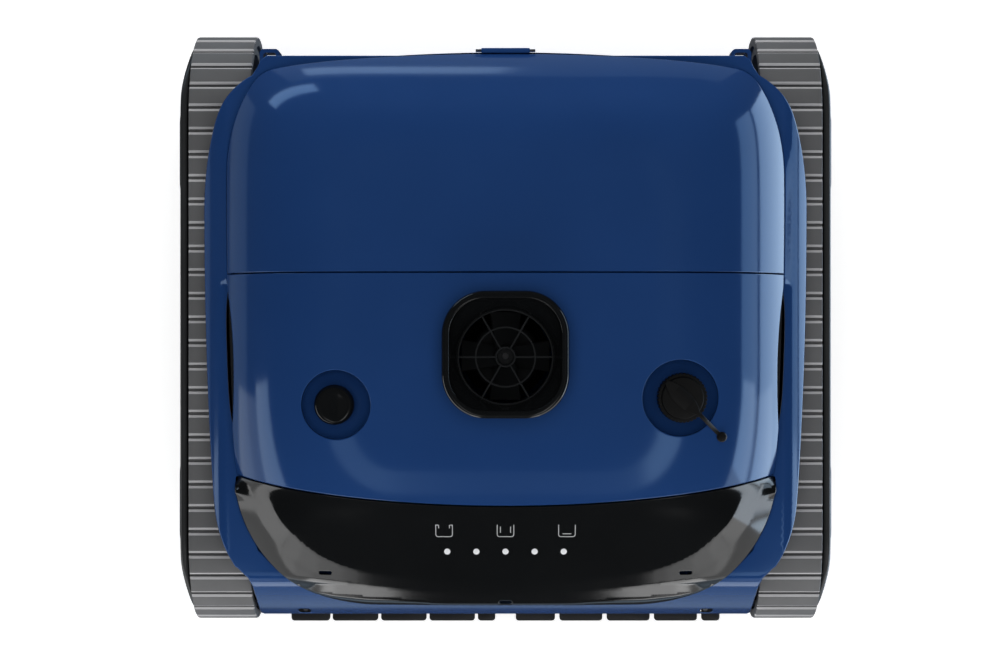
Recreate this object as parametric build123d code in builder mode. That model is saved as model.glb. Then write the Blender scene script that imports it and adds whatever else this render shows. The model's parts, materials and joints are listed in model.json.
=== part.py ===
from build123d import *
import os
from math import acos, asin, atan2, cos, degrees, hypot, pi, radians, sin, tan

# Cordless tracked pool cleaner. Millimetres, +Z up, front (roller brush) towards -Y.
# The origin is on the floor, under the middle of the whole object.

# ---- driving dimensions: covers ------------------------------------------------
top_z = 205.0            # highest point of the covers' crown
half_width = 178.0       # covers, centre to side
rear_y = 177.6           # covers, rear edge
front_y = -180.0         # covers, front edge
wall = 3.0               # moulded wall thickness
shoulder_drop = 57.0     # fall from the crown to the covers' lower edge
cover_gap = 0.4          # half the joint line between two covers
rim_z = 143.5            # top face of the fender frame next to the covers
seam_y = 37.0            # straight joint line between front cover and lid
display_arc_mid = -108.6  # joint line between front cover and display, at the centre
display_arc_side = -91.0  # and at the sides

# ---- driving dimensions: frame and tub -----------------------------------------
frame_bottom = 124.0
frame_front = -154.0
skirt_y = 177.0          # rear face of the frame and of the skirt below it
tub_half = 164.0
tub_bottom = 12.0
tub_top = 123.6
tub_front = -190.3
tub_rear = 172.0
bay_half = 149.0         # half width of the brush bay
bay_rear = -147.0

# ---- driving dimensions: tracks and drive --------------------------------------
wheel_z = 60.0
wheel_y = (-132.5, 138.5)
track_inner, track_outer = 166.0, 206.0
track_radius = 60.0      # over the lugs
lug_height = 3.0
belt_thickness = 3.0
lug_count = 60
groove_width = 2.8
wheel_radius = 53.4
axle_radius = 5.0
bush_radius = 8.0
running = 0.05           # radial clearance of every running fit
gear_module = 2.0
gear_x = (153.0, 160.0)
wheel_teeth, brush_teeth, pinion_teeth = 38, 12, 12
brush_y = -173.3
pinion_y = wheel_y[0] + gear_module * (wheel_teeth + pinion_teeth) / 2
brush_z = wheel_z - ((gear_module * (wheel_teeth + brush_teeth) / 2) ** 2
                     - (brush_y - wheel_y[0]) ** 2) ** 0.5
brush_radius = 25.0

# ---- driving dimensions: top fittings ------------------------------------------
outlet_y = -13.5
throat_y = -15.2
throat_radius = 30.0
button_at = (-106.0, -44.8)
button_cup_at = (-104.6, -44.7)
button_radius = 12.5
cap_at = (109.3, -40.5)
cap_cup_at = (107.9, -40.5)
cap_radius = 15.5
tether_end = (134.0, -64.8)
pocket_z = 184.0

# ---- driving dimensions: display -----------------------------------------------
lens_pitch, lens_y, lens_radius = 18.4, -138.6, 2.25
icon_pitch, icon_y, icon_width, icon_height, stroke = 38.6, -124.8, 11.0, 8.2, 1.0
lens_depth, icon_depth = 3.0, 1.0

# ---- driving dimensions: lid, latch and basket ---------------------------------
hinge_y, hinge_z = 50.8, 201.0
latch_y, latch_z = 179.4, 149.0
basket_half, basket_front, basket_rear = 120.0, 66.0, 156.0
basket_bottom, basket_top = 30.0, 138.0
handle_y, handle_z = 80.0, 134.0

os.makedirs("parts", exist_ok=True)


# ---- shared surfaces -----------------------------------------------------------
def front_fall(forward):
    """Fall of the covers towards the front, by the distance from where it begins."""
    begin_slope, slope, begin_nose = 88.6, 0.62, 135.0
    if forward <= 0:
        return 0
    if forward <= begin_slope:
        return 25 * (forward / begin_slope) ** 2.2
    nose = max(0, forward - begin_nose) / 25
    return 25 + slope * (forward - begin_slope) + 50 * nose**4


def crown(x, y):
    """Height of the covers' outer skin."""
    square, roundness = 6.6, 6
    side = abs(x) / half_width
    if y > 0:
        reach = (side**square + (y / half_width) ** square) ** (1 / square)
        return top_z - shoulder_drop * reach**roundness
    return top_z - shoulder_drop * side**roundness - front_fall(-y - 20)


def rim(x, y):
    """Height of the fender frame's and the bumper's top face."""
    z = rim_z - 14 * (max(0, abs(x) - half_width) / 17) ** 2.2
    if y < -90:
        z -= 10 * ((-y - 90) / 70) ** 2
    if y < -160:
        z -= 36 * ((-y - 160) / 20) ** 1.5
    return z


def below(height, inset=0.0, depth=260.0):
    """Everything under a height field, moved inwards by the inset."""
    scale = half_width / (half_width - inset)
    reach, step = 200, 10
    places = range(-reach, reach + 1, step)
    rows = [[Vector(x, y, height(x * scale, y * scale) - inset) for y in places] for x in places]
    with BuildPart() as solid:
        add(Face.make_surface_from_array_of_points(rows, tol=0.05))
        extrude(amount=depth, dir=(0, 0, -1))
    return solid.part


under_crown = below(crown)
under_inner_crown = below(crown, wall)
under_rim = below(rim)
under_raised_rim = below(rim, -0.4)
under_inner_rim = below(rim, wall + 0.6)


def cover_outline(inset=0.0):
    """Plan outline of the covers: long side, flank, rear corner and rear edge, all tangent arcs."""
    widest_y = 101.0
    side_r, flank_r, rear_r, rear_corner_r, front_corner_r = 3290.0, 108.0, 1134.0, 20.0, 92.0
    side_at = (half_width - side_r, widest_y)
    flank_at = (half_width - flank_r, widest_y)
    rear_at = (0, rear_y - rear_r)
    # centre of the rear corner's arc, inside both the flank's and the rear edge's circle
    to_rear = hypot(flank_at[0], flank_at[1] - rear_at[1])
    near, far = flank_r - rear_corner_r, rear_r - rear_corner_r
    aim = atan2(flank_at[1] - rear_at[1], flank_at[0])
    open_angle = acos((far**2 + to_rear**2 - near**2) / (2 * far * to_rear))
    corner_at = (far * cos(aim - open_angle), rear_at[1] + far * sin(aim - open_angle))
    rear_turn = degrees(aim - open_angle)
    flank_turn = degrees(atan2(corner_at[1] - flank_at[1], corner_at[0] - flank_at[0]))
    # centre of the front corner's arc
    front_turn = asin((front_y + front_corner_r - widest_y) / (side_r - front_corner_r))
    front_at = (side_at[0] + (side_r - front_corner_r) * cos(front_turn), front_y + front_corner_r)
    with BuildSketch() as plan:
        with BuildLine():
            CenterArc(front_at, front_corner_r - inset, -90, 90 + degrees(front_turn))
            CenterArc(side_at, side_r - inset, degrees(front_turn), -degrees(front_turn))
            CenterArc(flank_at, flank_r - inset, 0, flank_turn)
            CenterArc(corner_at, rear_corner_r - inset, flank_turn, rear_turn - flank_turn)
            CenterArc(rear_at, rear_r - inset, rear_turn, 90 - rear_turn)
            Line((front_at[0], front_y + inset), (0, front_y + inset))
            mirror(about=Plane.YZ)
        make_face()
    return plan.sketch


def frame_outline():
    """Plan outline of the fender frame over the tracks."""
    widest = (194.8, 79.2)
    corner_end = (162.4, 164.4)
    with BuildSketch() as plan:
        with BuildLine():
            flank = TangentArc(widest, (186, 136), tangent=(0, 1))
            TangentArc(flank @ 1, corner_end, tangent=flank % 1)
            side = TangentArc(widest, (187.3, -110.3), tangent=(0, -1))
            TangentArc(side @ 1, (171.7, frame_front), tangent=side % 1)
            Polyline(corner_end, (156.7, 174.5), (153, skirt_y), (0, skirt_y))
            Line((171.7, frame_front), (0, frame_front))
            mirror(about=Plane.YZ)
        make_face()
    return plan.sketch


def display_outline(grow=0.0):
    """Plan area in front of the arc that divides display and front cover."""
    reach = 200.0
    extra = (display_arc_side - display_arc_mid) * (reach / 173) ** 2
    with BuildSketch() as plan:
        with BuildLine():
            ThreePointArc((-reach, display_arc_mid + extra + grow), (0, display_arc_mid + grow),
                          (reach, display_arc_mid + extra + grow))
            Polyline((reach, display_arc_mid + extra + grow), (reach, -reach), (-reach, -reach),
                     (-reach, display_arc_mid + extra + grow))
        make_face()
    return plan.sketch


# The whole cover shell, before it is divided into lid, front cover and display.
with BuildPart() as cover_inside:
    with BuildSketch(Plane.XY.offset(40)):
        add(cover_outline(wall))
    extrude(amount=200)
    add(under_inner_crown, mode=Mode.INTERSECT)

with BuildPart() as cover_shell:
    with BuildSketch(Plane.XY.offset(60)):
        add(cover_outline())
    extrude(amount=180)
    add(under_crown, mode=Mode.INTERSECT)
    add(cover_inside.part, mode=Mode.SUBTRACT)

# The display's visible skin, used to sink lenses and icons flush into it.
with BuildPart() as display_skin:
    with BuildSketch(Plane.XY.offset(100)):
        with Locations((0, (icon_y + lens_y) / 2)):
            Rectangle(120, 60)
    extrude(amount=120)
    add(under_crown, mode=Mode.INTERSECT)


# ---- covers --------------------------------------------------------------------
slot_x, slot_front, slot_rear, slot_half = 175.0, -60.0, 27.0, 1.6


def side_slot(side, inset=0.0):
    """Plan of one pointed side slot."""
    middle = (slot_front + slot_rear) / 2
    lean = 1.3
    half = slot_half - inset
    with BuildSketch() as plan:
        with BuildLine():
            ThreePointArc((side * (slot_x - lean), slot_front + inset),
                          (side * (slot_x + half), middle), (side * (slot_x + lean), slot_rear - inset))
            ThreePointArc((side * (slot_x + lean), slot_rear - inset),
                          (side * (slot_x - half), middle), (side * (slot_x - lean), slot_front + inset))
        make_face()
    return plan.sketch


with BuildPart() as front_cover:
    add(cover_shell.part)
    with BuildSketch(Plane.XY.offset(30)):
        with Locations((0, seam_y - cover_gap + 200)):
            Rectangle(500, 400)
        add(display_outline(cover_gap))
    extrude(amount=220, mode=Mode.SUBTRACT)
    with BuildSketch(Plane.XY.offset(30)):
        Rectangle(500, 500)
    extrude(amount=rim_z + 0.3 - 30, mode=Mode.SUBTRACT)
    with BuildSketch(Plane.XY.offset(170)):
        with Locations((0, throat_y)):
            Circle(36)
        with Locations(button_cup_at):
            Circle(24.2)
        with Locations(cap_cup_at):
            Circle(26.4)
        with Locations(tether_end):
            Circle(2.6)
    extrude(amount=60, mode=Mode.SUBTRACT)
    with BuildSketch(Plane.XY.offset(rim_z)):
        add(side_slot(-1))
        add(side_slot(1))
    extrude(amount=60, mode=Mode.SUBTRACT)
front_cover.part.label = "front_cover"
export_step(front_cover.part, "parts/front_cover.step")

with BuildPart() as slot_liners:
    with BuildSketch(Plane.XY.offset(rim_z + 0.1)):
        add(side_slot(-1, 0.3))
        add(side_slot(1, 0.3))
    extrude(amount=2.5)
slot_liners.part.label = "slot_liners"
export_step(slot_liners.part, "parts/slot_liners.step")

lens_places = [((i - 2) * lens_pitch, lens_y) for i in range(5)]


def icons():
    """Three open pool sections: waterline, walls and floor."""
    left, right = -icon_width / 2 + stroke / 2, icon_width / 2 - stroke / 2
    floor_line = -icon_height / 2 + stroke / 2
    with BuildSketch() as plan:
        for i in (-1, 0, 1):
            with Locations((i * icon_pitch, icon_y)):
                with Locations((left, 0), (right, 0)):
                    Rectangle(stroke, icon_height)
                with Locations((0, floor_line)):
                    Rectangle(icon_width, stroke)
        with Locations((-icon_pitch - 3, icon_y + icon_height / 2 - stroke / 2),
                       (-icon_pitch + 3, icon_y + icon_height / 2 - stroke / 2)):
            Rectangle(3, stroke)
        with Locations((-2.6, icon_y + 0.6), (2.6, icon_y + 0.6)):
            Rectangle(stroke, icon_height - 4)
        with Locations((icon_pitch, icon_y - icon_height / 2 + 2.6)):
            Rectangle(icon_width - 4.6, stroke)
    return plan.sketch


def skin_layer(depth):
    """A solid block just under the display's face, for inlays of this depth."""
    lowered = below(crown, depth)
    with BuildPart() as layer:
        add(display_skin.part)
        add(lowered, mode=Mode.SUBTRACT)
    return layer.part


lens_layer = skin_layer(lens_depth)
icon_layer = skin_layer(icon_depth)

with BuildPart() as indicator_lenses:
    with BuildSketch(Plane.XY.offset(120)):
        with Locations(*lens_places):
            Circle(lens_radius)
    extrude(amount=80)
    add(lens_layer, mode=Mode.INTERSECT)
indicator_lenses.part.label = "indicator_lenses"
export_step(indicator_lenses.part, "parts/indicator_lenses.step")

with BuildPart() as mode_icons:
    with BuildSketch(Plane.XY.offset(120)):
        add(icons())
    extrude(amount=80)
    add(icon_layer, mode=Mode.INTERSECT)
mode_icons.part.label = "mode_icons"
export_step(mode_icons.part, "parts/mode_icons.step")

with BuildPart() as display_panel:
    add(cover_shell.part)
    with BuildSketch(Plane.XY.offset(30)):
        add(display_outline(-cover_gap))
    extrude(amount=220, mode=Mode.INTERSECT)
    add(under_raised_rim, mode=Mode.SUBTRACT)
    with BuildSketch(Plane.XY.offset(150)):
        with Locations(*lens_places):
            Circle(lens_radius)
    extrude(amount=60, mode=Mode.SUBTRACT)
    add(mode_icons.part, mode=Mode.SUBTRACT)
    with BuildSketch(Plane.XY.offset(90)):
        with Locations((-114.8, -153.3), (0, -173.8), (114.8, -153.3)):
            SlotOverall(8, 2)
    extrude(amount=80, mode=Mode.SUBTRACT)
display_panel.part.label = "display_panel"
export_step(display_panel.part, "parts/display_panel.step")

# ---- lid, hinge and latch ------------------------------------------------------
knuckle_radius, pin_radius = 2.7, 1.3
lid_knuckles = (-52.0, -18.0, 18.0, 52.0)
body_knuckles = (-35.0, 35.0)
knuckle_length = 14.0
lid_bottom = rim_z + 2.0
ear_x = (-17.6, 17.6)
latch_half, latch_inner = 15.4, 177.9

with BuildPart() as rear_lid:
    add(cover_shell.part)
    with BuildSketch(Plane.XY.offset(30)):
        with Locations((0, seam_y + cover_gap + 100)):
            Rectangle(500, 200)
    extrude(amount=220, mode=Mode.INTERSECT)
    with BuildSketch(Plane.XY.offset(30)):
        Rectangle(500, 500)
    extrude(amount=lid_bottom - 30, mode=Mode.SUBTRACT)
    for x in lid_knuckles:
        with BuildSketch(Plane.YZ.offset(x - knuckle_length / 2)):
            with Locations((hinge_y, hinge_z)):
                Circle(knuckle_radius)
        extrude(amount=knuckle_length)
    for x in body_knuckles:
        with BuildSketch(Plane.YZ.offset(x - knuckle_length / 2 - 0.6)):
            with Locations((hinge_y, hinge_z)):
                Circle(knuckle_radius + 0.4)
        extrude(amount=knuckle_length + 1.2, mode=Mode.SUBTRACT)
    with BuildSketch(Plane.YZ.offset(-61)):
        with Locations((hinge_y, hinge_z)):
            Circle(pin_radius + running)
    extrude(amount=122, mode=Mode.SUBTRACT)
    for x in ear_x:
        with BuildSketch(Plane.YZ.offset(x - 1.5)):
            with Locations((latch_y, latch_z)):
                Circle(2.6)
            with BuildLine():
                Polyline((latch_y, latch_z - 2.6), (175.5, latch_z - 2.6), (175.5, latch_z + 2.6),
                         (latch_y, latch_z + 2.6), (latch_y, latch_z - 2.6))
            make_face()
        extrude(amount=3)
    with BuildSketch(Plane.YZ.offset(-20)):
        with Locations((latch_y, latch_z)):
            Circle(1.0 + running)
    extrude(amount=40, mode=Mode.SUBTRACT)
rear_lid.part.label = "rear_lid"
export_step(rear_lid.part, "parts/rear_lid.step")

with BuildPart() as lid_hinge_pin:
    with BuildSketch(Plane.YZ.offset(-60)):
        with Locations((hinge_y, hinge_z)):
            Circle(pin_radius)
    extrude(amount=120)
lid_hinge_pin.part.label = "lid_hinge_pin"
export_step(lid_hinge_pin.part, "parts/lid_hinge_pin.step")

with BuildPart() as lid_latch:
    with BuildSketch(Plane.YZ.offset(-latch_half)):
        with Locations((latch_y, latch_z)):
            Circle(latch_y - latch_inner)
        with BuildLine():
            Polyline((latch_inner, latch_z), (latch_inner, 134.5), (174.6, 134.5), (174.6, 131.5),
                     (180.8, 130.5), (181.2, latch_z), (latch_inner, latch_z))
        make_face()
    extrude(amount=2 * latch_half)
    with BuildSketch(Plane.YZ.offset(-20)):
        with Locations((latch_y, latch_z)):
            Circle(1.0 + running)
    extrude(amount=40, mode=Mode.SUBTRACT)
lid_latch.part.label = "lid_latch"
export_step(lid_latch.part, "parts/lid_latch.step")

with BuildPart() as latch_pin:
    with BuildSketch(Plane.YZ.offset(-19)):
        with Locations((latch_y, latch_z)):
            Circle(1.0)
    extrude(amount=38)
latch_pin.part.label = "latch_pin"
export_step(latch_pin.part, "parts/latch_pin.step")

# ---- fender frame, bumper and rear skirt ---------------------------------------
with BuildPart() as fender_frame:
    with BuildSketch(Plane.XY.offset(frame_bottom)):
        add(frame_outline())
        add(cover_outline(10), mode=Mode.SUBTRACT)
    extrude(amount=40)
    add(under_rim, mode=Mode.INTERSECT)
    with BuildSketch(Plane.XY.offset(frame_bottom)):
        with Locations((0, 177)):
            Rectangle(34, 8)
    extrude(amount=11.2, mode=Mode.SUBTRACT)
fender_frame.part.label = "fender_frame"
export_step(fender_frame.part, "parts/fender_frame.step")

bumper_rear = frame_front - 0.5
bumper_half = 164.7
dimple_at = [(-134.5, -186.6), (134.5, -186.6)]
bumper_stations = [bumper_rear + i * (tub_front - 0.2 - bumper_rear) / 8 for i in range(9)]


def under_bumper_skin(y):
    """Point one wall thickness under the bumper's face."""
    slope = (rim(0, y + 0.01) - rim(0, y - 0.01)) / 0.02
    normal = hypot(slope, 1)
    return (min(y + wall * slope / normal, bumper_rear), rim(0, y) - wall / normal)


bumper_face = [(y, rim(0, y)) for y in bumper_stations]
bumper_back = [under_bumper_skin(y) for y in bumper_stations]
with BuildPart() as front_bumper:
    with BuildSketch(Plane.YZ.offset(-bumper_half)):
        with BuildLine():
            Spline(*bumper_face)
            Line(bumper_face[-1], bumper_back[-1])
            Spline(*bumper_back)
            Line(bumper_back[0], bumper_face[0])
        make_face()
    extrude(amount=2 * bumper_half)
    with BuildSketch(Plane.XY.offset(40)):
        with Locations(*dimple_at):
            SlotOverall(7, 3.6)
    extrude(amount=60, mode=Mode.SUBTRACT)
front_bumper.part.label = "front_bumper"
export_step(front_bumper.part, "parts/front_bumper.step")

with BuildPart() as bumper_screws:
    with BuildSketch(Plane.XY.offset(58)):
        with Locations(*dimple_at):
            Circle(1.5)
    extrude(amount=6)
bumper_screws.part.label = "bumper_screws"
export_step(bumper_screws.part, "parts/bumper_screws.step")

with BuildPart() as rear_skirt:
    with BuildSketch(Plane.XY.offset(58)):
        with Locations((0, 174.7)):
            Rectangle(292, 4.6)
    extrude(amount=frame_bottom - 0.4 - 58)
    fillet(rear_skirt.edges().filter_by(Axis.Z).group_by(Axis.Y)[-1], 2)
rear_skirt.part.label = "rear_skirt"
export_step(rear_skirt.part, "parts/rear_skirt.step")

# ---- lower tub and what is fixed in it -----------------------------------------
intake_half, intake_front, intake_rear = 66.0, 92.0, 122.0
axle_places = [(y, wheel_z) for y in wheel_y]
lug_x, lug_rear, lug_bottom = 153.2, 184.0, 104.0
lug_width, lug_length, lug_rim, lug_slot_depth = 13.0, 14.0, 2.4, 6.4


def tub_outline():
    with BuildSketch() as plan:
        with Locations((0, (tub_front + tub_rear) / 2)):
            Rectangle(2 * tub_half, tub_rear - tub_front)
        with Locations((0, (tub_front + bay_rear) / 2 - 1)):
            Rectangle(2 * bay_half, bay_rear - tub_front + 2, mode=Mode.SUBTRACT)
    return plan.sketch


with BuildPart() as base_tub:
    with BuildSketch(Plane.XY.offset(tub_bottom)):
        add(tub_outline())
    extrude(amount=tub_top - tub_bottom)
    fillet(base_tub.edges().filter_by(Axis.Z).group_by(Axis.Y)[-1], 8)
    with BuildSketch(Plane.XY.offset(tub_bottom + wall)):
        add(tub_outline())
        offset(amount=-wall, mode=Mode.REPLACE)
    extrude(amount=tub_top, mode=Mode.SUBTRACT)
    with BuildSketch(Plane.XY.offset(tub_bottom)):
        with Locations((0, (intake_front + intake_rear) / 2)):
            Rectangle(2 * intake_half + 9, intake_rear - intake_front + 9)
    extrude(amount=wall, mode=Mode.SUBTRACT)
    add(under_inner_rim, mode=Mode.INTERSECT)
    # bearing holes for the axles and the brush shafts
    with BuildSketch(Plane.YZ.offset(-180)):
        with Locations(*axle_places):
            Circle(bush_radius)
    extrude(amount=360, mode=Mode.SUBTRACT)
    with BuildSketch(Plane.YZ.offset(-153)):
        with Locations((brush_y, brush_z)):
            Circle(5.2)
    extrude(amount=306, mode=Mode.SUBTRACT)
    # towing lugs at the rear corners
    for side in (-1, 1):
        with BuildSketch(Plane.XY.offset(lug_bottom)):
            with Locations((side * lug_x, lug_rear - lug_length / 2)):
                RectangleRounded(lug_width, lug_length, 3)
            with Locations((side * lug_x, lug_rear - lug_rim - lug_slot_depth / 2)):
                RectangleRounded(lug_width - 2 * lug_rim, lug_slot_depth, 1.5, mode=Mode.SUBTRACT)
        extrude(amount=16)
base_tub.part.label = "base_tub"
export_step(base_tub.part, "parts/base_tub.step")

with BuildPart() as intake_duct:
    with BuildSketch(Plane.XY.offset(tub_bottom - 6)):
        with Locations((0, (intake_front + intake_rear) / 2)):
            RectangleRounded(2 * intake_half + 40, intake_rear - intake_front + 26, 8)
    extrude(amount=5.8)
    with BuildSketch(Plane.XY.offset(tub_bottom - 1)):
        with Locations((0, (intake_front + intake_rear) / 2)):
            Rectangle(2 * intake_half + 8, intake_rear - intake_front + 8)
    extrude(amount=basket_bottom - 1.4 - tub_bottom + 1)
    with BuildSketch(Plane.XY.offset(tub_bottom - 7)):
        with Locations((0, (intake_front + intake_rear) / 2)):
            Rectangle(2 * intake_half, intake_rear - intake_front)
    extrude(amount=30, mode=Mode.SUBTRACT)
intake_duct.part.label = "intake_duct"
export_step(intake_duct.part, "parts/intake_duct.step")

brush_shaft_radius = 4.0
with BuildPart() as bearing_bushes:
    for side in (-1, 1):
        with BuildSketch(Plane.YZ.offset(side * (tub_half - 1.2) - 2.2)):
            with Locations(*axle_places):
                Circle(bush_radius)
                Circle(axle_radius + running, mode=Mode.SUBTRACT)
        extrude(amount=4.4)
        with BuildSketch(Plane.YZ.offset(side * 150.5 - 1.5)):
            with Locations((brush_y, brush_z)):
                Circle(5.2)
                Circle(brush_shaft_radius + running, mode=Mode.SUBTRACT)
        extrude(amount=3)
bearing_bushes.part.label = "bearing_bushes"
export_step(bearing_bushes.part, "parts/bearing_bushes.step")

# Wall between the basket chamber and the dry front compartment, with hinge brackets on top.
with BuildPart() as bulkhead:
    with BuildSketch(Plane.XZ.offset(-34)):
        with Locations((0, 112.6)):
            Rectangle(2 * tub_half - 2 * wall - 1, 194.8)
        with Locations((0, 80)):
            Rectangle(84, 60, mode=Mode.SUBTRACT)
    extrude(amount=3)
    add(below(crown, wall + 1.2), mode=Mode.INTERSECT)
    for x in body_knuckles:
        with BuildSketch(Plane.YZ.offset(x - knuckle_length / 2)):
            with Locations((hinge_y, hinge_z)):
                Circle(knuckle_radius)
            with BuildLine():
                Polyline((hinge_y - 1.6, hinge_z), (hinge_y - 1.6, 184), (33, 184), (33, 176),
                         (hinge_y + 2.4, 181), (hinge_y + 2.4, hinge_z), (hinge_y - 1.6, hinge_z))
            make_face()
            with Locations((hinge_y, hinge_z)):
                Circle(pin_radius, mode=Mode.SUBTRACT)
        extrude(amount=knuckle_length)
bulkhead.part.label = "bulkhead"
export_step(bulkhead.part, "parts/bulkhead.step")

with BuildPart() as lid_seal:
    with BuildSketch(Plane.XY.offset(rim_z + 0.1)):
        add(cover_outline(5))
        add(cover_outline(8.5), mode=Mode.SUBTRACT)
        with Locations((0, -162)):
            Rectangle(500, 402, mode=Mode.SUBTRACT)
    extrude(amount=1.6)
lid_seal.part.label = "lid_seal"
export_step(lid_seal.part, "parts/lid_seal.step")

# ---- pump, battery and electronics ---------------------------------------------
motor_radius, motor_top = 22.0, 132.0
shaft_radius = 2.0
with BuildPart() as pump_motor:
    with BuildSketch(Plane.XY.offset(tub_bottom + wall + 0.1)):
        with Locations((0, throat_y)):
            Circle(motor_radius + 8)
    extrude(amount=4)
    with BuildSketch(Plane.XY.offset(tub_bottom + wall + 4)):
        with Locations((0, throat_y)):
            Circle(motor_radius)
    extrude(amount=motor_top - tub_bottom - wall - 4)
    fillet(pump_motor.edges().group_by(Axis.Z)[-1], 4)
    with BuildSketch(Plane.XY.offset(motor_top - 30)):
        with Locations((0, throat_y)):
            Circle(shaft_radius + running)
    extrude(amount=31, mode=Mode.SUBTRACT)
pump_motor.part.label = "pump_motor"
export_step(pump_motor.part, "parts/pump_motor.step")

with BuildPart() as pump_shaft:
    with BuildSketch(Plane.XY.offset(motor_top - 28)):
        with Locations((0, throat_y)):
            Circle(shaft_radius)
    extrude(amount=46)
pump_shaft.part.label = "pump_shaft"
export_step(pump_shaft.part, "parts/pump_shaft.step")

blade_count = 4
with BuildPart() as propeller:
    with BuildSketch(Plane.XY.offset(motor_top + 4)):
        with Locations((0, throat_y)):
            Circle(7)
    extrude(amount=15)
    fillet(propeller.edges().group_by(Axis.Z)[-1], 3)
    for i in range(blade_count):
        turn = 360 / blade_count * i
        blade_plane = Plane((0, throat_y, motor_top + 11), x_dir=(-sin(radians(turn)), cos(radians(turn)), 0),
                            z_dir=(cos(radians(turn)), sin(radians(turn)), 0))
        with BuildSketch(blade_plane.offset(5)):
            Rectangle(15, 1.8, rotation=32)
        with BuildSketch(blade_plane.offset(28)):
            Rectangle(21, 1.6, rotation=20)
        loft()
    with BuildSketch(Plane.XY.offset(motor_top)):
        with Locations((0, throat_y)):
            Circle(shaft_radius)
    extrude(amount=30, mode=Mode.SUBTRACT)
propeller.part.label = "propeller"
export_step(propeller.part, "parts/propeller.step")

# Housing open to the basket chamber through the bulkhead's window, with the outlet duct on top.
duct_wall, duct_top = 2.5, 196.0
housing_half, housing_front, housing_top = 46.0, -60.0, motor_top + 1.8
with BuildPart() as pump_housing:
    with BuildSketch(Plane.XY.offset(tub_bottom + wall + 0.2)):
        with Locations((0, (housing_front + 30.6) / 2)):
            Rectangle(2 * housing_half, 30.6 - housing_front)
    extrude(amount=housing_top - tub_bottom - wall - 0.2)
    fillet(pump_housing.edges().filter_by(Axis.Z).group_by(Axis.Y)[0], 12)
    with BuildSketch(Plane.XY.offset(tub_bottom)):
        with Locations((0, (housing_front + wall + 32) / 2)):
            Rectangle(2 * housing_half - 2 * wall, 32 - housing_front - wall)
    extrude(amount=housing_top - tub_bottom - wall, mode=Mode.SUBTRACT)
    with BuildSketch(Plane.XY.offset(housing_top - 1)):
        with Locations((0, throat_y)):
            Circle(throat_radius + duct_wall)
    extrude(amount=duct_top - housing_top + 1)
    with BuildSketch(Plane.XY.offset(housing_top - 20)):
        with Locations((0, throat_y)):
            Circle(throat_radius)
    extrude(amount=duct_top, mode=Mode.SUBTRACT)
pump_housing.part.label = "pump_housing"
export_step(pump_housing.part, "parts/pump_housing.step")

with BuildPart() as battery_pack:
    with BuildSketch(Plane.XY.offset(tub_bottom + wall + 0.4)):
        with Locations((0, -103)):
            RectangleRounded(180, 76, 8)
    extrude(amount=62)
    fillet(battery_pack.edges().group_by(Axis.Z)[-1], 6)
battery_pack.part.label = "battery_pack"
export_step(battery_pack.part, "parts/battery_pack.step")

with BuildPart() as control_board:
    with BuildSketch(Plane.XY.offset(100)):
        with Locations((0, -104)):
            Rectangle(170, 66)
    extrude(amount=1.6)
    with BuildSketch(Plane.XY.offset(101.6)):
        with GridLocations(40, 26, 4, 2):
            with Locations((0, -104)):
                Rectangle(16, 12)
    extrude(amount=5)
    with BuildSketch(Plane.XY.offset(82)):
        with Locations((-78, -78), (78, -78), (-78, -130), (78, -130)):
            Circle(3)
    extrude(amount=18)
control_board.part.label = "control_board"
export_step(control_board.part, "parts/control_board.step")

# ---- outlet --------------------------------------------------------------------
bezel_bottom, bezel_top = 196.3, 219.0
bezel_size, bezel_corner = 78.0, 27.0
mouth_size, mouth_corner = 70.0, 25.0
with BuildPart() as outlet_bezel:
    with BuildSketch(Plane.XY.offset(bezel_bottom)):
        with Locations((0, outlet_y)):
            RectangleRounded(bezel_size, bezel_size, bezel_corner)
    extrude(amount=bezel_top - bezel_bottom)
    fillet(outlet_bezel.edges().group_by(Axis.Z)[-1], 3)
    with BuildSketch(Plane.XY.offset(bezel_top)):
        with Locations((0, outlet_y)):
            RectangleRounded(mouth_size, mouth_size, mouth_corner)
    with BuildSketch(Plane.XY.offset(202)):
        with Locations((0, throat_y)):
            RectangleRounded(2 * throat_radius, 2 * throat_radius, throat_radius - 0.5)
    loft(mode=Mode.SUBTRACT)
    with BuildSketch(Plane.XY.offset(190)):
        with Locations((0, throat_y)):
            Circle(throat_radius)
    extrude(amount=20, mode=Mode.SUBTRACT)
    # the part below the covers' skin is a round spigot in the cover's hole
    add(front_cover.part, mode=Mode.SUBTRACT)
    with BuildSketch(Plane.XY.offset(190)):
        with Locations((0, outlet_y)):
            Rectangle(100, 100)
        with Locations((0, throat_y)):
            Circle(35.8, mode=Mode.SUBTRACT)
    extrude(amount=13.2, mode=Mode.SUBTRACT)
outlet_bezel.part.label = "outlet_bezel"
export_step(outlet_bezel.part, "parts/outlet_bezel.step")

grille_z, grille_thick, grille_bar = 197.0, 2.4, 1.3
with BuildPart() as outlet_grille:
    with BuildSketch(Plane.XY.offset(grille_z)):
        with Locations((0, throat_y)):
            for radius in (throat_radius - 0.1, 19.0, 6.5):
                Circle(radius)
                Circle(radius - grille_bar, mode=Mode.SUBTRACT)
            with PolarLocations(17.6, 6):
                Rectangle(23.4, grille_bar)
    extrude(amount=grille_thick)
outlet_grille.part.label = "outlet_grille"
export_step(outlet_grille.part, "parts/outlet_grille.step")


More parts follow.
